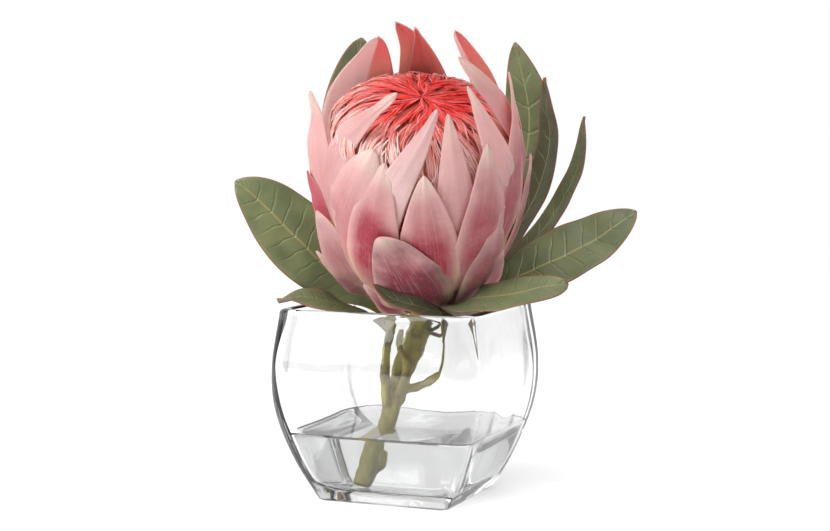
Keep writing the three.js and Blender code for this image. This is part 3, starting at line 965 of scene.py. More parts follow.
@dataclass
class Stem:
    """The woody stem with its shoots and knots, in the plant's own millimetres.

    Attributes:
        branches: The stem, its three side shoots and a short stub, in this order.
        knots: Round swellings, as x, y, z and radius.
        steps: How many rings a branch has.
        sides: How many points a ring has.
        voxel: The grain at which the parts are grown together.
        smoothing: How often the skin is smoothed afterwards.
        bumps: The bark's unevenness, as a seed, a size and a height.
        sole: The least height of its skin, just above the glass.
    """

    branches: tuple[Branch, ...] = (
        Branch(
            ((-22, -8, 9.9), (-12.8, 1.5, 34), (-5, 9, 58), (3, 15, 78), (8, 18.5, 93), (5.2, 15.2, 107)),
            (5.0, 5.2, 5.3, 5.9, 6.4, 5.4),
        ),
        Branch(((-9, 3, 38), (-12.5, 2, 55), (-11.5, 3, 76), (-9, 6, 93)), (3.6, 3.1, 2.6, 2.9)),
        Branch(
            ((-7, 2, 42), (-2, 0, 62), (0, 1.5, 70), (-4, 3, 81), (-3, 3, 90)),
            (2.2, 1.9, 1.8, 1.7, 1.9),
        ),
        Branch(
            ((-4, 9, 56), (8, 6, 58.5), (19, 5, 68), (25, 5, 81), (22.5, 5.5, 92)),
            (2.8, 2.2, 1.9, 2.1, 1.9),
        ),
        Branch(((-15, 0, 20), (-10.5, -2.5, 24), (-7.5, -1.5, 31)), (2.6, 3.4, 2.2)),
    )
    knots: tuple[tuple[float, float, float, float], ...] = (
        (-10.5, 0.5, 27, 4.4), (-6.5, 7, 52, 6.5), (5, 15.6, 84, 6.4), (-18.4, -2, 17, 5.3),
    )
    steps: int = 44
    sides: int = 24
    voxel: float = 0.8
    smoothing: int = 5
    bumps: tuple[tuple[int, float, float], ...] = ((3, 9, 0.45), (4, 3.4, 0.2))
    sole: float = 8.25

    def build(self) -> bpy.types.Object:
        """Make the stem as one grown piece.

        Returns:
            The object.
        """
        shells = Shells()
        for branch in self.branches:
            self._add_branch(shells, branch)
        for x, y, z, radius in self.knots:
            self._add_knot(shells, np.array([x, y, z]), radius)
        piece = shells.piece("stem_bark", StemFinish().material())
        self._grow_together(piece)
        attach(piece, "root")
        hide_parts("stem")
        return piece

    def _add_branch(self, shells: Shells, branch: Branch) -> None:
        """Add one branch as a tube of changing thickness.

        Args:
            shells: Where it goes.
            branch: The branch.
        """
        curve = Curve(branch.path)
        shares = np.linspace(0, 1, self.steps)
        middle, along = curve.spaced(shares), curve.tangents(shares)
        radii = np.interp(shares, np.linspace(0, 1, len(branch.radii)), branch.radii)
        side = unit(np.cross(along, np.array([0.3, 1, 0.1])))
        other = np.cross(along, side)
        angles = np.linspace(0, 2 * math.pi, self.sides + 1)[:-1, None]
        round_it = np.cos(angles) * side[:, None] + np.sin(angles) * other[:, None]
        rings = middle[:, None] + radii[:, None, None] * round_it
        shells.add_loft(turn_about_z(rings[:, ::-1], PLANT_TURN))

    def _add_knot(self, shells: Shells, centre: Numbers, radius: float) -> None:
        """Add a round swelling.

        Args:
            shells: Where it goes.
            centre: Its middle.
            radius: Its radius.
        """
        polar = np.linspace(0.12, math.pi - 0.12, 12)[:, None, None]
        angles = np.linspace(0, 2 * math.pi, 21)[:-1][None, :, None]
        wide = np.sin(polar)
        parts = [wide * np.cos(angles), wide * np.sin(angles), -np.cos(polar) + 0 * angles]
        ball = np.concatenate(parts, -1) * radius
        shells.add_loft(turn_about_z(centre + ball, PLANT_TURN))

    def _grow_together(self, piece: bpy.types.Object) -> None:
        """Fuse the shells into one skin and make it bumpy.

        Args:
            piece: The stem's object, which is changed.
        """
        fuse = piece.modifiers.new("fuse", "REMESH")
        fuse.mode = "VOXEL"
        fuse.voxel_size = self.voxel * MM
        smooth = piece.modifiers.new("smooth", "SMOOTH")
        smooth.iterations = self.smoothing
        evaluated = piece.evaluated_get(bpy.context.evaluated_depsgraph_get())
        mesh = bpy.data.meshes.new_from_object(evaluated)
        piece.modifiers.clear()
        points = np.empty(len(mesh.vertices) * 3)
        mesh.vertices.foreach_get("co", points)
        normals = np.empty(len(mesh.vertices) * 3)
        mesh.vertex_normals.foreach_get("vector", normals)
        points, normals = points.reshape(-1, 3) / MM, normals.reshape(-1, 3)
        bumps = [high * Ripple(seed, size).at(points) for seed, size, high in self.bumps]
        lifted = points + normals * sum(bumps)[:, None]
        lifted[:, 2] = np.maximum(lifted[:, 2], self.sole)
        mesh.vertices.foreach_set("co", (lifted * MM).ravel())
        mesh.materials.clear()
        mesh.materials.append(piece.data.materials[0])
        mesh.shade_smooth()
        piece.data = mesh


class Side(Enum):
    """Which long edge of a bract is rolled over; the value is the sign of that side."""

    NEITHER = 0
    RIGHT = 1


@dataclass(frozen=True)
class Bract:
    """One bract: degrees round the bloom from its front, heights along its axis, millimetres.

    Attributes:
        name: What it is called here.
        turn: Where its root and its tip are round the bloom.
        start: The height of its root.
        end: The height of its tip.
        out: How far its tip is from the axis.
        width: Its greatest width.
        proud: How far it stands before the bloom's wall.
        blunt: The shape of its end: below 1 blunt, above 1 pointed.
        roll: How far its blade is turned about its own length.
        bend: How late along its length it turns aside.
        tip: Half its width close to its end.
        blush: How strong the flush on its outside is: its real rose, deepened by painted shade low in its
            middle.
        mauve: How much of it has aged to mauve.
        rose: How much of it is deep rose.
        fair: How much of it is fair.
        glow: How much painted light brightens its inside, where light falls in and shines through.
        curl: How far its tip curls aside and outwards.
        rolled: Which of its long edges is rolled over.
        fold: Where the fair fold starts, as a share of the way to the rolled edge.
    """

    name: str
    turn: tuple[float, float]
    start: float
    end: float
    out: float
    width: float
    proud: float
    blunt: float = 0.8
    roll: float = 0.0
    bend: float = 1.5
    tip: float = 1.7
    blush: float = 0.4
    mauve: float = 0.1
    rose: float = 0.0
    fair: float = 0.0
    glow: float = 0.0
    curl: tuple[float, float] = (0.0, 0.0)
    rolled: Side = Side.NEITHER
    fold: float = 0.0


@dataclass
class Bloom:
    """The flower head: its bracts, its receptacle and its dome of florets, in millimetres.

    Outlines are pairs of a radius and a height along the bloom's axis, which leans by tilt
    towards the viewer and by lean to the right. A ring of bracts has the degrees of its
    first one, the step to the next, their number and their kind. Bumps have a number that
    is added to a bract's seed, a size and a height.
    """

    PAINTED = ("blush", "mauve", "rose", "fair", "glow")

    base: tuple[float, float, float] = (5, 14, 108)
    tilt: float = 30.0
    lean: float = 3.0
    wall: tuple[tuple[float, float], ...] = (
        (13, 0), (23, 5), (32, 13), (41, 28), (48.5, 50), (52.5, 72),
        (53, 92), (50, 112), (42, 135), (30, 160),
    )
    wall_smoothing: float = 9.0
    wall_sharp_foot: float = 30.0
    wall_straight: float = 110.0
    socket: tuple[tuple[float, float], ...] = ((4, -4.5), (9, -4.5))
    receptacle: tuple[tuple[float, float], ...] = ((13, 0), (27, 11), (37, 26), (42, 44), (38, 62))
    crater: tuple[float, float] = (4, 62)
    dome: tuple[tuple[float, float], ...] = (
        (38, 62.4), (46, 82), (48.5, 94), (45, 108), (33, 118), (0.01, 122),
    )
    front_press: float = 0.09
    left_press: float = 0.05
    crown_shift: float = -4.5
    core_in: float = 0.6
    core_down: float = 0.8
    locks: int = 290
    lock_spread: float = 0.93
    lock_sweep: float = 5.5
    lock_length: tuple[float, float] = (15, 25)
    lock_rise: tuple[float, float] = (0.6, 3.0)
    hairs: int = 17
    hair_seed: int = 11
    hair_steps: int = 7
    hair_sides: int = 3
    hair_radius: tuple[float, float] = (0.4, 0.75)
    hair_aside: float = 1.7
    hair_back: float = 4.0
    first_seed: int = 40
    thickness: float = 0.8
    edge_thinning: float = 0.55
    rows: int = 40
    columns: int = 16
    crowding: float = 1.35
    look: float = 0.02
    rooted: float = 4.0
    root_share: float = 0.22
    widest: float = 0.45
    tip_taper: float = 1.7
    tip_share: float = 0.035
    least_half: float = 0.15
    keel: float = 0.5
    keel_width: float = 0.22
    bumps: tuple[tuple[int, float, float], ...] = ((0, 22, 0.55), (500, 9, 0.16))
    edge_waves: float = 0.5
    roll_from: float = 0.25
    roll_lift: float = 0.35
    curl_share: float = 0.2
    bracts: tuple[Bract, ...] = (
        Bract("A", (5, -23), 2, 72.5, 59, 41, 7.4, 0.56, blush=1.2, mauve=0.85),
        Bract("B", (7, -3), 5, 106, 49, 34, 3.6, 0.72, blush=1.1, mauve=0.15),
        Bract("C", (-32, -28), 5, 108, 47, 33, 4.2, 0.68, blush=1.15, mauve=0.05),
        Bract("D", (-64, -36), 8, 113, 47, 43, 1.9, 0.62, blush=0.5, mauve=0.05),
        Bract("E", (-34, 4), 15, 135, 33.5, 22, 0.4, 0.8, bend=2.5, tip=2.4, blush=0.05, mauve=0, fair=0.9),
        Bract("F", (20, 14), 15, 132, 33, 24, 0, 0.78, tip=2.2, blush=0.25, mauve=0, fair=0.2),
        Bract("G", (30, 37), 10, 119, 46, 30, 2.7, 0.75, blush=0.9, mauve=0.25),
        Bract("H", (-76, -31), 14, 141, 34, 26, 1.2, 1.1, bend=3.8, tip=2.6, blush=0.2, mauve=0.12),
        Bract("I", (58, 29), 14, 147, 34, 22, 0, 0.9, bend=2.6, blush=0.25, mauve=0.05, fair=0.25),
        Bract("J", (80, 32), 12, 157, 22, 19, 0, 0.6, bend=6, blush=0.7, mauve=0.2, fair=0.15),
        Bract(
            "K", (132, 159), 14, 143, 38, 24, 0, 0.55, bend=3,
            blush=0.6, glow=0.5, curl=(2, 2), rolled=Side.RIGHT, fold=0.3,
        ),
        Bract("L", (50, 84), 10, 142, 38, 26, 0, bend=3, blush=0.75, mauve=0.2),
        Bract("M", (72, 82), 6, 97, 53.3, 16, 2.2, roll=-8, blush=0.6, mauve=0.5),
        Bract("N", (-177, -155.5), 14, 147, 41, 30, 0, 0.75, bend=6, blush=0.6, glow=0.8, curl=(2, 1)),
        Bract("O", (178, 193), 14, 143, 40, 34, 0, 1.1, bend=5, blush=0.6, glow=0.2),
        Bract(
            "P", (-133, -141), 14, 139, 44, 48, 1.5, 0.6, roll=-18, tip=2.4,
            blush=0, mauve=0, fair=0.9, glow=0.6, rolled=Side.RIGHT, fold=-0.2,
        ),
        Bract(
            "Q", (-81, -91), 12, 123, 58, 22, 0, 0.55, bend=3, roll=36,
            blush=0.15, mauve=0.05, curl=(-1.5, 2.5),
        ),
        Bract("R", (-80, -90), 8, 76, 62, 18, 3, 0.7, roll=38, blush=1.0, rose=1.0),
        Bract("S", (-58, -74), 6, 62, 58, 27, 5, 0.7, roll=28, blush=0.4, mauve=0.35),
        Bract("T", (-60, -80), 3, 32, 57, 15, 7, roll=25, blush=0.6, mauve=0.2),
        Bract("U", (37, 44), 2.5, 80, 54, 23, 5, blush=0.7, mauve=0.5),
        Bract("V", (50, 53), 2, 53, 52, 17, 6, roll=-12, blush=0.7, mauve=0.4),
        Bract("W", (-14, -34), 4, 36, 53, 13, 9, blush=1.0, mauve=0.3),
        Bract("X", (24, 27), 1, 27, 38, 13, 8, 0.6, blush=0.9, mauve=0.7),
    )
    rings: tuple[tuple[float, float, int, Bract], ...] = (
        (105, 34, 5, Bract("ring_low", (0, 4), 3, 50, 51, 24, 3)),
        (98, 35, 5, Bract("ring_middle", (0, 4), 6, 86, 52, 29, 0.5)),
        (106, 30, 5, Bract("ring_high", (0, 4), 10, 112, 48, 28, 0.3)),
    )

    def placed(self, points: Numbers) -> Numbers:
        """Move points from the bloom's own frame into the object's.

        Args:
            points: Points of x, y and z along the bloom's axis, in an array of any shape.

        Returns:
            The moved points, in the same shape.
        """
        forwards = Matrix.Rotation(math.radians(self.tilt), 3, "X")
        turning = np.array(forwards @ Matrix.Rotation(math.radians(self.lean), 3, "Y"))
        moved = points.reshape(-1, 3) @ turning.T + np.array(self.base)
        return turn_about_z(moved, PLANT_TURN).reshape(points.shape)

    @staticmethod
    def radius_at(outline: Sequence[tuple[float, float]], height: Numbers) -> Numbers:
        """Return the radius of an outline of radius and height pairs at a height."""
        return np.interp(height, [pair[1] for pair in outline], [pair[0] for pair in outline])

    def smooth_wall(self, height: Numbers) -> Numbers:
        """Find the wall's radius, without corners.

        Args:
            height: Heights along the bloom's axis.

        Returns:
            The radius at each height.
        """
        held = np.clip(height, 0, self.wall[-1][1])
        shifts = np.linspace(-self.wall_smoothing, self.wall_smoothing, 7)
        soft = np.mean([self.radius_at(self.wall, held + shift) for shift in shifts], axis=0)
        sharp = self.radius_at(self.wall, held)
        return sharp + (soft - sharp) * eased(held / self.wall_sharp_foot)

    @staticmethod
    def ring_point(radius: Numbers, turn: Numbers, height: Numbers) -> Numbers:
        """Return points from radius, degrees round from the front, and height."""
        angle = np.radians(turn)
        return np.stack(np.broadcast_arrays(radius * np.sin(angle), -radius * np.cos(angle), height), -1)

    def every_bract(self) -> list[Bract]:
        """List the bracts.

        Returns:
            The named bracts, and then those of the rings.
        """
        made = list(self.bracts)
        for first, step, count, kind in self.rings:
            for index in range(count):
                turn = tuple(first + step * index + degrees for degrees in kind.turn)
                made.append(replace(kind, name=f"{kind.name}_{index}", turn=turn))
        return made

    def middle(self, bract: Bract, share: Numbers) -> tuple[Numbers, Numbers, Numbers]:
        """Follow the middle of a bract.

        Args:
            bract: The bract.
            share: Shares of its length.

        Returns:
            The degrees round the bloom, the heights, and the points.
        """
        height = bract.start + (bract.end - bract.start) * share
        wall = self.smooth_wall(height)
        stand = bract.proud * np.minimum(1, 0.3 + 2 * share)
        flare = (bract.out - self.smooth_wall(np.array(bract.end)) - bract.proud) * share**3
        depth = wall + stand - self.radius_at(self.receptacle, height) + self.rooted
        sunk = depth * (1 - eased(share / self.root_share))
        degrees = bract.turn[0] + (bract.turn[1] - bract.turn[0]) * share**bract.bend
        return degrees, height, self.ring_point(wall + stand + flare - sunk, degrees, height)

    def half_width(self, bract: Bract, share: Numbers) -> Numbers:
        """Return half the width of a bract: half as wide at its root, blunt at its tip.

        Args:
            bract: The bract.
            share: Shares of its length.

        Returns:
            Half the width at each share.
        """
        rise = 0.5 + 0.5 * eased(share / self.widest)
        past = np.clip((share - self.widest) / (1 - self.widest), 0, 1)
        half = bract.width / 2 * rise * (1 - past**self.tip_taper) ** bract.blunt
        tip = bract.tip * np.sqrt(np.minimum((1 - share) / self.tip_share, 1))
        return np.maximum(np.maximum(half, tip), self.least_half)

    def lift(self, bract: Bract, share: Numbers, side: Numbers, half: Numbers, rough: Numbers) -> Numbers:
        """Return how far a bract's blade is lifted outwards by its keel and its edges.

        Args:
            bract: The bract.
            share: Shares of its length, one for each row.
            side: Shares of its half width, one for each column.
            half: Half its width at each row.
            rough: Its bumps and the waves of its edges, at each point.

        Returns:
            The lift at each point, in millimetres.
        """
        ridge = np.exp(-((side / self.keel_width) ** 2))[None]
        keel = self.keel * ridge * eased((share - 0.4) / 0.4)[:, None]
        past = np.clip(side * bract.rolled.value - self.roll_from, 0, 1)[None]
        rolled = past**1.5 * half[:, None]
        return rough * eased(share / 0.3)[:, None] + keel + self.roll_lift * rolled

    def add_bract(self, shells: Shells, bract: Bract, seed: int) -> None:
        """Add one bract's blade.

        Args:
            shells: Where it goes.
            bract: The bract.
            seed: The seed of its small bumps.
        """
        draw = np.random.default_rng(seed)
        share = 1 - (1 - np.linspace(0, 1, self.rows + 1)) ** self.crowding
        side = np.linspace(-1, 1, self.columns + 1)
        degrees, height, middle = self.middle(bract, share)
        ahead = self.middle(bract, np.minimum(share + self.look, 1))[2]
        behind = self.middle(bract, np.maximum(share - self.look, 0))[2]
        along = unit(ahead - behind)
        facing = degrees + bract.roll * eased(share / 0.35)
        across = unit(np.cross(along, self.ring_point(np.ones_like(share), facing, 0 * share)))
        outward = np.cross(across, along)
        half = self.half_width(bract, share)
        hollow = self.smooth_wall(np.minimum(height, self.wall_straight)) + bract.proud
        hollow = hollow * (1 - 0.5 * share**2)
        hollow = (hollow * (1 - 0.7 * eased((share - 0.7) / 0.3)))[:, None]
        bend = half[:, None] * side / hollow
        grid = (
            middle[:, None]
            + across[:, None] * (hollow * np.sin(bend))[..., None]
            - outward[:, None] * (hollow * (1 - np.cos(bend)))[..., None]
        )
        bumps = [Ripple(seed + extra, size).at(grid) * high for extra, size, high in self.bumps]
        waves = np.sin(share * draw.uniform(7, 12) + draw.uniform(0, 6))[:, None]
        rough = sum(bumps) + waves * np.abs(side) ** 3 * self.edge_waves
        grid = grid + outward[:, None] * self.lift(bract, share, side, half, rough)[..., None]
        curled = eased((share - (1 - self.curl_share)) / self.curl_share)[:, None] ** 2
        grid = grid + (curled * (across * bract.curl[0] + outward * bract.curl[1]))[:, None]
        painted = np.ones((len(share), len(side)))
        flat = {label: getattr(bract, label) * painted for label in self.PAINTED}
        shells.add_sheet(
            self.placed(grid),
            self.thickness * (1 - self.edge_thinning * np.abs(side) ** 4)[None] * painted,
            along=share[:, None] * painted,
            side=side[None] * painted,
            inset=(1 - np.abs(side))[None] * half[:, None],
            tint=draw.uniform(0, 9) * painted,
            **flat,
            fold=(side * bract.rolled.value - bract.fold)[None] * painted,
        )

    def build_bracts(self) -> bpy.types.Object:
        """Make all the bracts, with the receptacle that they grow on.

        Returns:
            The object.
        """
        shells = Shells()
        for seed, bract in enumerate(self.every_bract()):
            self.add_bract(shells, bract, self.first_seed + seed)
        outline = np.array([*self.socket, *self.receptacle, self.crater])
        angles = np.linspace(0, 360, 41)[:-1]
        rings = self.ring_point(outline[:, :1], angles[None], outline[:, 1:])
        names = ("under", "along", "side", "inset", "tint", "fold", *self.PAINTED)
        plain = {name: np.full(rings.shape[:2], float(name == "inset")) for name in names}
        shells.add_loft(self.placed(rings), **plain)
        piece = shells.piece("bracts_pink", BractFinish().material())
        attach(piece, "root")
        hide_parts("bracts")
        return piece

    def pressed(self, points: Numbers) -> Numbers:
        """Press the dome in at the front and left, and move its crown to the left.

        Args:
            points: Points of the round dome.

        Returns:
            The moved points.
        """
        x, y, z = np.moveaxis(points, -1, 0)
        front = eased(-y / 45) * self.front_press
        left = eased(-x / 45) * eased((112 - z) / 20) * self.left_press
        inwards = 1 - np.stack([left, front, 0 * front], axis=-1)
        shift = self.crown_shift * eased((z - 80) / 40)
        return points * inwards + shift[..., None] * np.array([1, 0, 0])

    def add_core(self, shells: Shells, curve: Curve) -> None:
        """Add the smooth core of the dome, just under the florets.

        Args:
            shells: Where it goes.
            curve: The dome's outline from its edge to its top, as x radius and z height.
        """
        levels = 40
        outline = curve.spaced(np.linspace(0, 1, levels))
        angles = np.linspace(0, 360, 61)[:-1]
        radius, height = outline[:, :1] - self.core_in, outline[:, 2:] - self.core_down
        rings = self.ring_point(radius, angles[None], height)
        core = np.zeros(rings.shape[:2])
        deep = np.clip(1.5 - np.linspace(0, 1.6, levels), 0, 1)[:, None] + core
        shells.add_loft(self.placed(self.pressed(rings)), along=core, tint=core, out=deep)

    def add_hairs(self, shells: Shells, curve: Curve) -> None:
        """Add the florets: locks of silky hairs combed to the dome's top.

        Args:
            shells: Where they go.
            curve: The dome's outline from its edge to its top, as x radius and z height.
        """
        draw = np.random.default_rng(self.hair_seed)
        locks, steps, sides = self.locks, self.hair_steps, self.hair_sides
        lock = np.repeat(np.arange(locks), self.hairs)
        count = locks * self.hairs
        inner = np.sqrt(1 - (np.arange(locks) + 0.5) / locks)
        start = (self.lock_spread - self.lock_spread * inner)[lock]
        rim = eased((0.62 - start) / 0.45)
        turn = (np.arange(locks) * GOLDEN_ANGLE % 360)[lock]
        loose = 0.35 + 0.65 * rim
        sweep = draw.normal(0, self.lock_sweep, locks)[lock] * loose + draw.normal(0, 1.0, count)
        length = draw.uniform(*self.lock_length, locks)[lock] * draw.uniform(0.75, 1.05, count)
        rise = draw.uniform(*self.lock_rise, locks)[lock] * loose
        aside = draw.normal(0, self.hair_aside, count)
        back = draw.uniform(-self.hair_back, self.hair_back, count)
        shares = np.linspace(0, 1, steps)
        total = curve.lengths[-1]
        reach = np.clip(start[:, None] + (back[:, None] + length[:, None] * shares) / total, 0, 0.998)
        place = curve.spaced(reach)
        shift = aside[:, None] * (1 - 0.7 * shares) + sweep[:, None] * shares**1.4
        shift += 0.6 * np.sin(shares * 5 + draw.uniform(0, 6, locks)[lock][:, None])
        around = turn[:, None] + np.degrees(shift / np.maximum(place[..., 0], 9))
        lift = 0.2 + rise[:, None] * np.sin(shares * math.pi * 0.7)
        lift = lift + draw.uniform(0, 0.9, count)[:, None] * shares
        lift *= 0.3 + 0.7 * eased((place[..., 2] - 76) / 26)
        slope = curve.tangents(reach)
        outward_r, outward_z = slope[..., 2], -slope[..., 0]
        radius = np.maximum(place[..., 0] + outward_r * lift, 0.05)
        path = self.ring_point(radius, around, place[..., 2] + outward_z * lift)
        along = unit(np.gradient(path, axis=1))
        across = unit(np.cross(along, self.ring_point(outward_r, around, outward_z)))
        out = np.cross(across, along)
        thick = draw.uniform(*self.hair_radius, count)[:, None] * (1 - 0.8 * shares**2.5)
        angles = np.linspace(0, 2 * math.pi, sides + 1)[:-1, None]
        tube = path[:, :, None] + thick[..., None, None] * (
            np.cos(angles) * across[:, :, None] + 0.8 * np.sin(angles) * out[:, :, None]
        )
        pale = draw.uniform(0.25, 1.5, locks)[lock] * rim + draw.normal(0, 0.35, count)
        pale = np.clip(np.maximum(pale, (draw.uniform(0, 1, count) > 0.88) * 0.5), 0, 1)
        ones = np.ones((count, steps, sides))
        shells.add(
            self.placed(self.pressed(tube)).reshape(-1, 3),
            self.hair_faces(count, steps, sides),
            along=(shares[None, :, None] * ones).ravel(),
            tint=(pale[:, None, None] * ones).ravel(),
            out=(eased((0.8 - reach) / 0.35)[:, :, None] * ones).ravel(),
        )

    @staticmethod
    def hair_faces(count: int, steps: int, sides: int) -> list[list[int]]:
        """Return the faces of tubes that are closed at both ends.

        Args:
            count: How many tubes there are.
            steps: How many rings a tube has.
            sides: How many points a ring has.

        Returns:
            The walls of all the tubes, and then their ends.
        """
        index = np.arange(count * steps * sides).reshape(count, steps, sides)
        after = np.roll(index, -1, axis=2)
        walls = np.stack([index[:, :-1], after[:, :-1], after[:, 1:], index[:, 1:]], -1).reshape(-1, 4)
        caps = np.concatenate([index[:, 0, ::-1], index[:, -1]])
        return walls.tolist() + caps.tolist()

    def build_florets(self) -> bpy.types.Object:
        """Make the dome: a core covered with silky florets combed to its middle.

        Returns:
            The object.
        """
        shells = Shells()
        curve = Curve([(radius, 0, height) for radius, height in self.dome])
        self.add_core(shells, curve)
        self.add_hairs(shells, curve)
        piece = shells.piece("florets_coral", FloretFinish().material())
        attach(piece, "root")
        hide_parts("florets")
        return piece


@dataclass(frozen=True)
class Leaf:
    """One leaf: its midrib's points, millimetres in the plant's frame, and its blade's shape.

    Attributes:
        name: Its node's name.
        path: The points of its midrib, from the stem to its tip.
        width: Its greatest width.
        widest: The share of its length where it is widest.
        blunt: The shape of its end: the lower, the blunter.
        faces: Which way its upper face looks at its root and at its tip.
        fold: How steeply its halves rise from the midrib.
        wave: How high its edges wave.
        bare: The share of its length that is a narrow stalk.
        shade: How much painted shade darkens it, where it turns away from the light; partly it is its own
            browner tone.
    """

    name: str
    path: tuple[tuple[float, float, float], ...]
    width: float
    widest: float
    blunt: float
    faces: tuple[tuple[float, float, float], tuple[float, float, float]]
    fold: float
    wave: float = 0.0
    bare: float = 0.0
    shade: float = 0.0


@dataclass
class Foliage:
    """The nine leaves, in millimetres."""

    thickness: float = 0.7
    rows: int = 64
    columns: int = 20
    tip_taper: float = 1.7
    least_share: float = 0.03
    ruffle: float = 0.55
    groove: float = 0.5
    groove_width: float = 0.06
    rib: float = 1.3
    rib_width: float = 0.07
    swell: float = 0.5
    swell_size: float = 24.0
    first_seed: int = 70
    leaves: tuple[Leaf, ...] = (
        Leaf(
            "leaf_left_large",
            (
                (-9, 6, 90), (-14, 13, 99), (-36, 20, 113.8),
                (-53, 18, 129.3), (-81, 12, 158.5), (-94, 8, 170.5),
            ),
            47, 0.55, 0.62, ((0.2, -0.6, 0.8), (0.2, -0.9, 0.4)), 0.14,
        ),
        Leaf(
            "leaf_left_low",
            ((-9, 6, 86), (-20, -5, 98), (-41, -14, 105.3), (-58, -15, 108.8), (-70, -12, 106.8)),
            25, 0.5, 0.7, ((0, -0.1, 1), (0.1, -0.36, 0.9)), 0.1, 1.5, shade=0.4,
        ),
        Leaf(
            "leaf_back_left",
            ((7, 18, 90), (0, 31, 103), (-14, 44, 125), (-27, 44, 165), (-31, 38, 208), (-26, 30, 249)),
            40, 0.6, 0.55, ((0, -0.9, 0.4), (0, -1, 0.1)), 0.12, shade=0.4,
        ),
        Leaf(
            "leaf_right_tall",
            ((8, 18, 93), (19, 30, 103), (42, 44, 128), (60.5, 46, 160), (68, 43, 204), (59.5, 39, 247)),
            35, 0.6, 0.7, ((-0.3, -0.8, 0.5), (-0.3, -1, 0)), 0.14, shade=0.12,
        ),
        Leaf(
            "leaf_right_dark",
            ((8, 18, 87), (24, 22, 99), (46, 31, 122), (62, 34, 143), (78, 29, 185), (75, 26, 227)),
            18, 0.65, 0.7, ((-0.5, -0.6, 0.6), (-0.7, -0.7, 0)), 0.25, shade=0.7,
        ),
        Leaf(
            "leaf_right_far",
            ((5, 16, 83), (26, 13, 95), (54, 17, 121), (78.5, 16, 149), (92.5, 12, 177), (95.5, 9, 205.5)),
            14, 0.6, 0.7, ((-0.5, -0.5, 0.7), (-0.65, -0.7, 0.2)), 0.25, shade=0.4,
        ),
        Leaf(
            "leaf_right_large",
            (
                (23.5, 5, 89), (29, 3, 100), (48, -1, 113),
                (84, -6, 130), (107, -8, 143.5), (122.5, -8, 154.5),
            ),
            38, 0.58, 0.62, ((-0.2, -0.5, 0.8), (-0.3, -0.8, 0.5)), 0.12, 0.0, 0.1, 0.25,
        ),
        Leaf(
            "leaf_right_low",
            (
                (24.5, 5, 83), (28, -12, 94), (31, -41, 109.2),
                (54, -47, 113.3), (70, -45, 116.5), (83, -42, 118.5),
            ),
            29, 0.55, 0.5, ((0, -0.2, 1), (0.1, -0.62, 0.78)), 0.06, 1.0, 0.02, 0.25,
        ),
        Leaf(
            "leaf_front_small",
            (
                (7, 18, 90), (12, 2, 88), (21, -22, 91), (23, -38, 101),
                (9, -50, 106), (-8, -52.5, 112), (-18, -52, 119),
            ),
            13, 0.7, 0.6, ((0.3, 0, 1), (0, -0.8, 0.6)), 0.1, 0.8, 0.35, 0.8,
        ),
    )

    def half_width(self, leaf: Leaf, share: Numbers) -> Numbers:
        """Return half the width of a leaf's blade: narrow at its bare root, blunt at its tip.

        Args:
            leaf: The leaf.
            share: Shares of its length.

        Returns:
            Half the width at each share.
        """
        rise = 0.14 + 0.86 * eased((share - leaf.bare) / (leaf.widest - leaf.bare))
        past = np.clip((share - leaf.widest) / (1 - leaf.widest), 0, 1)
        fall = (1 - past**self.tip_taper) ** leaf.blunt
        return leaf.width / 2 * np.maximum(rise * fall, self.least_share)

    def blade(self, shells: Shells, leaf: Leaf, seed: int) -> None:
        """Add one leaf's blade.

        Args:
            shells: Where it goes.
            leaf: The leaf.
            seed: The seed of its small waves.
        """
        draw = np.random.default_rng(seed)
        share = np.linspace(0, 1, self.rows + 1)
        side = np.linspace(-1, 1, self.columns + 1)
        curve = Curve(leaf.path)
        middle, along = curve.spaced(share), curve.tangents(share)
        faces = np.array(leaf.faces, float)
        face = faces[0] + (faces[1] - faces[0]) * share[:, None]
        across = unit(np.cross(along, face))
        face = np.cross(across, along)
        half = self.half_width(leaf, share)
        smooth_root = eased(share * 4)[:, None]
        ripple = leaf.wave * side**2 * np.sin(share[:, None] * 9 + side) * eased(share * 3)[:, None]
        ruffle = np.sin(share * draw.uniform(16, 24) + draw.uniform(0, 6))[:, None]
        ruffle = ruffle * np.abs(side) ** 3 * self.ruffle
        groove = -self.groove * np.exp(-((side / self.groove_width) ** 2))
        lift = half[:, None] * leaf.fold * np.abs(side) + ripple + (ruffle + groove) * smooth_root
        flat = middle[:, None] + across[:, None] * (half[:, None] * side)[..., None]
        grid = flat + face[:, None] * lift[..., None]
        swell = Ripple(seed + 90, self.swell_size).at(grid) * self.swell * smooth_root
        grid = grid + face[:, None] * swell[..., None]
        rib = self.rib * np.exp(-((side / self.rib_width) ** 2))
        painted = np.ones((len(share), len(side)))
        shells.add_sheet(
            turn_about_z(grid, PLANT_TURN),
            (self.thickness * (1 - 0.5 * np.abs(side) ** 5) + rib) * painted,
            along=share[:, None] * painted,
            side=side * painted,
            inset=(1 - np.abs(side)) * half[:, None],
            shade=leaf.shade * painted,
        )

    def build(self) -> list[bpy.types.Object]:
        """Make every leaf.

        Returns:
            The objects, one for each leaf.
        """
        material = LeafFinish().material()
        made = []
        for seed, leaf in enumerate(self.leaves):
            shells = Shells()
            self.blade(shells, leaf, self.first_seed + seed)
            piece = shells.piece(leaf.name + "_blade", material)
            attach(piece, "root")
            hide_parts(leaf.name)
            made.append(piece)
        return made


@dataclass(frozen=True)
class Lamp:
    """A soft rectangular light: degrees from the camera and above the floor, metres and watts."""

    name: str
    turn: float
    rise: float
    far: float
    size: tuple[float, float]
    power: float


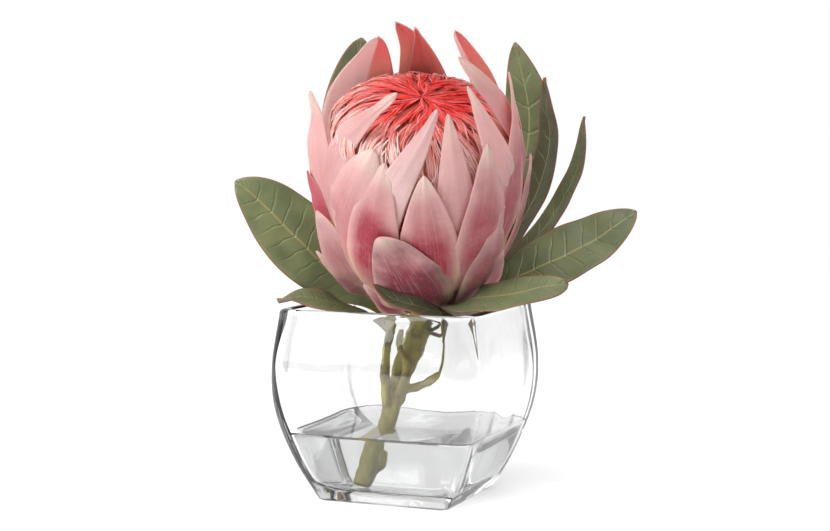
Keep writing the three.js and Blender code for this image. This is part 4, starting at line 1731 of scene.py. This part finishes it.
@dataclass
class Studio:
    """The floor, the soft lights and the camera, in metres."""

    azimuth: float = FRONT
    elevation: float = 4.4
    distance: float = 0.945
    aim: float = 0.1248
    aim_right: float = 0.00357
    sensor: float = 36.0
    focal_pixels: float = 1742.0
    image_width: float = 830.0
    near: float = 0.05
    far: float = 50.0
    floor_radius: float = 1.5
    floor_drop: float = 0.0002
    lamps: tuple[Lamp, ...] = (
        Lamp("key", -66, 25, 1.2, (1.0, 1.1), 14),
        Lamp("front", 4, 62, 1.5, (0.9, 0.6), 16),
    )
    lamps_aim: float = 0.12
    room: tuple[float, float] = (0.95, 0.42)
    room_span: tuple[float, float] = (-0.5, 0.3)
    room_lean: float = 0.45
    backdrop: float = 1.0

    def directions(self) -> tuple[Vector, Vector, Vector]:
        """Work out where the camera looks.

        Returns:
            The image's right, the level way to the camera, and the way back to it.
        """
        turn, rise = math.radians(self.azimuth), math.radians(self.elevation)
        right = Vector((math.cos(turn), math.sin(turn), 0))
        level = Vector((math.sin(turn), -math.cos(turn), 0))
        return right, level, level * math.cos(rise) + Vector((0, 0, math.sin(rise)))

    def add_camera(self) -> None:
        """Place the camera."""
        right, _, back = self.directions()
        data = bpy.data.cameras.new("camera")
        data.sensor_width = self.sensor
        data.lens = self.focal_pixels / self.image_width * self.sensor
        data.clip_start, data.clip_end = self.near, self.far
        camera = bpy.data.objects.new("camera", data)
        camera.location = Vector((0, 0, self.aim)) + right * self.aim_right + back * self.distance
        camera.rotation_euler = back.to_track_quat("Z", "Y").to_euler()
        bpy.context.scene.collection.objects.link(camera)
        bpy.context.scene.camera = camera

    def add_floor(self) -> None:
        """Lay the round floor."""
        mesh = bpy.data.meshes.new("floor")
        angles = np.linspace(0, 2 * math.pi, 97)[:-1]
        rim = np.stack([np.cos(angles), np.sin(angles), 0 * angles], -1) * self.floor_radius
        mesh.from_pydata(rim.tolist(), [], [list(range(len(rim)))])
        mesh.materials.append(FloorFinish().material())
        floor = bpy.data.objects.new("floor", mesh)
        floor.location.z = -self.floor_drop
        bpy.context.scene.collection.objects.link(floor)

    def add_light(self, lamp: Lamp) -> None:
        """Hang one light that faces the bloom.

        Args:
            lamp: The light.
        """
        data = bpy.data.lights.new(lamp.name, "AREA")
        data.shape = "RECTANGLE"
        data.size, data.size_y = lamp.size
        data.energy = lamp.power
        light = bpy.data.objects.new(lamp.name, data)
        around, above = math.radians(self.azimuth + lamp.turn), math.radians(lamp.rise)
        flat = math.cos(above)
        way = Vector((math.sin(around) * flat, -math.cos(around) * flat, math.sin(above)))
        light.location = Vector((0, 0, self.lamps_aim)) + way * lamp.far
        light.rotation_euler = way.to_track_quat("Z", "Y").to_euler()
        bpy.context.scene.collection.objects.link(light)

    def add_world(self) -> None:
        """Light the room softly: a pale backdrop, and a duller room on the camera's side."""
        scene = bpy.context.scene
        world = bpy.data.worlds.new("room")
        world.use_nodes = True
        tree = world.node_tree
        where = tree.nodes.new("ShaderNodeTexCoord")
        facing = tree.nodes.new("ShaderNodeVectorMath")
        facing.operation = "DOT_PRODUCT"
        duller = self.directions()[1] - Vector((0, 0, self.room_lean))
        facing.inputs[1].default_value = duller.normalized()
        room = tree.nodes.new("ShaderNodeMapRange")
        for socket, number in zip(room.inputs[1:5], (*self.room_span, *self.room), strict=True):
            socket.default_value = number
        seen = tree.nodes.new("ShaderNodeLightPath")
        plain = tree.nodes.new("ShaderNodeMix")
        plain.inputs[3].default_value = self.backdrop
        for source, target in (
            (where.outputs["Generated"], facing.inputs[0]),
            (facing.outputs["Value"], room.inputs["Value"]),
            (seen.outputs["Is Camera Ray"], plain.inputs[0]),
            (room.outputs["Result"], plain.inputs[2]),
            (plain.outputs[0], tree.nodes["Background"].inputs["Strength"]),
        ):
            tree.links.new(source, target)
        tree.nodes["Background"].inputs["Color"].default_value = (1, 1, 1, 1)
        scene.world = world
        scene.view_settings.view_transform = "Standard"
        scene.view_settings.look = "None"
        scene.view_settings.exposure = 0.0
        scene.cycles.use_denoising = True

    def build(self) -> None:
        """Set up everything round the object."""
        self.add_floor()
        for lamp in self.lamps:
            self.add_light(lamp)
        self.add_world()
        self.add_camera()


def report(kind: str, pieces: list[bpy.types.Object]) -> None:
    """Log each piece with its number of faces.

    Args:
        kind: What the pieces are.
        pieces: The objects.
    """
    for piece in pieces:
        LOG.info("%s: %s, %d faces", kind, piece.name, len(piece.data.polygons))


def main() -> None:
    """Build the object round its frame, then the studio."""
    logging.basicConfig(level=logging.INFO, format="%(message)s")
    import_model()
    report("vase", Vase().build())
    report("stem", [Stem().build()])
    bloom = Bloom()
    report("bloom", [bloom.build_bracts(), bloom.build_florets()])
    report("leaves", Foliage().build())
    Studio().build()


if __name__ == "__main__":
    main()
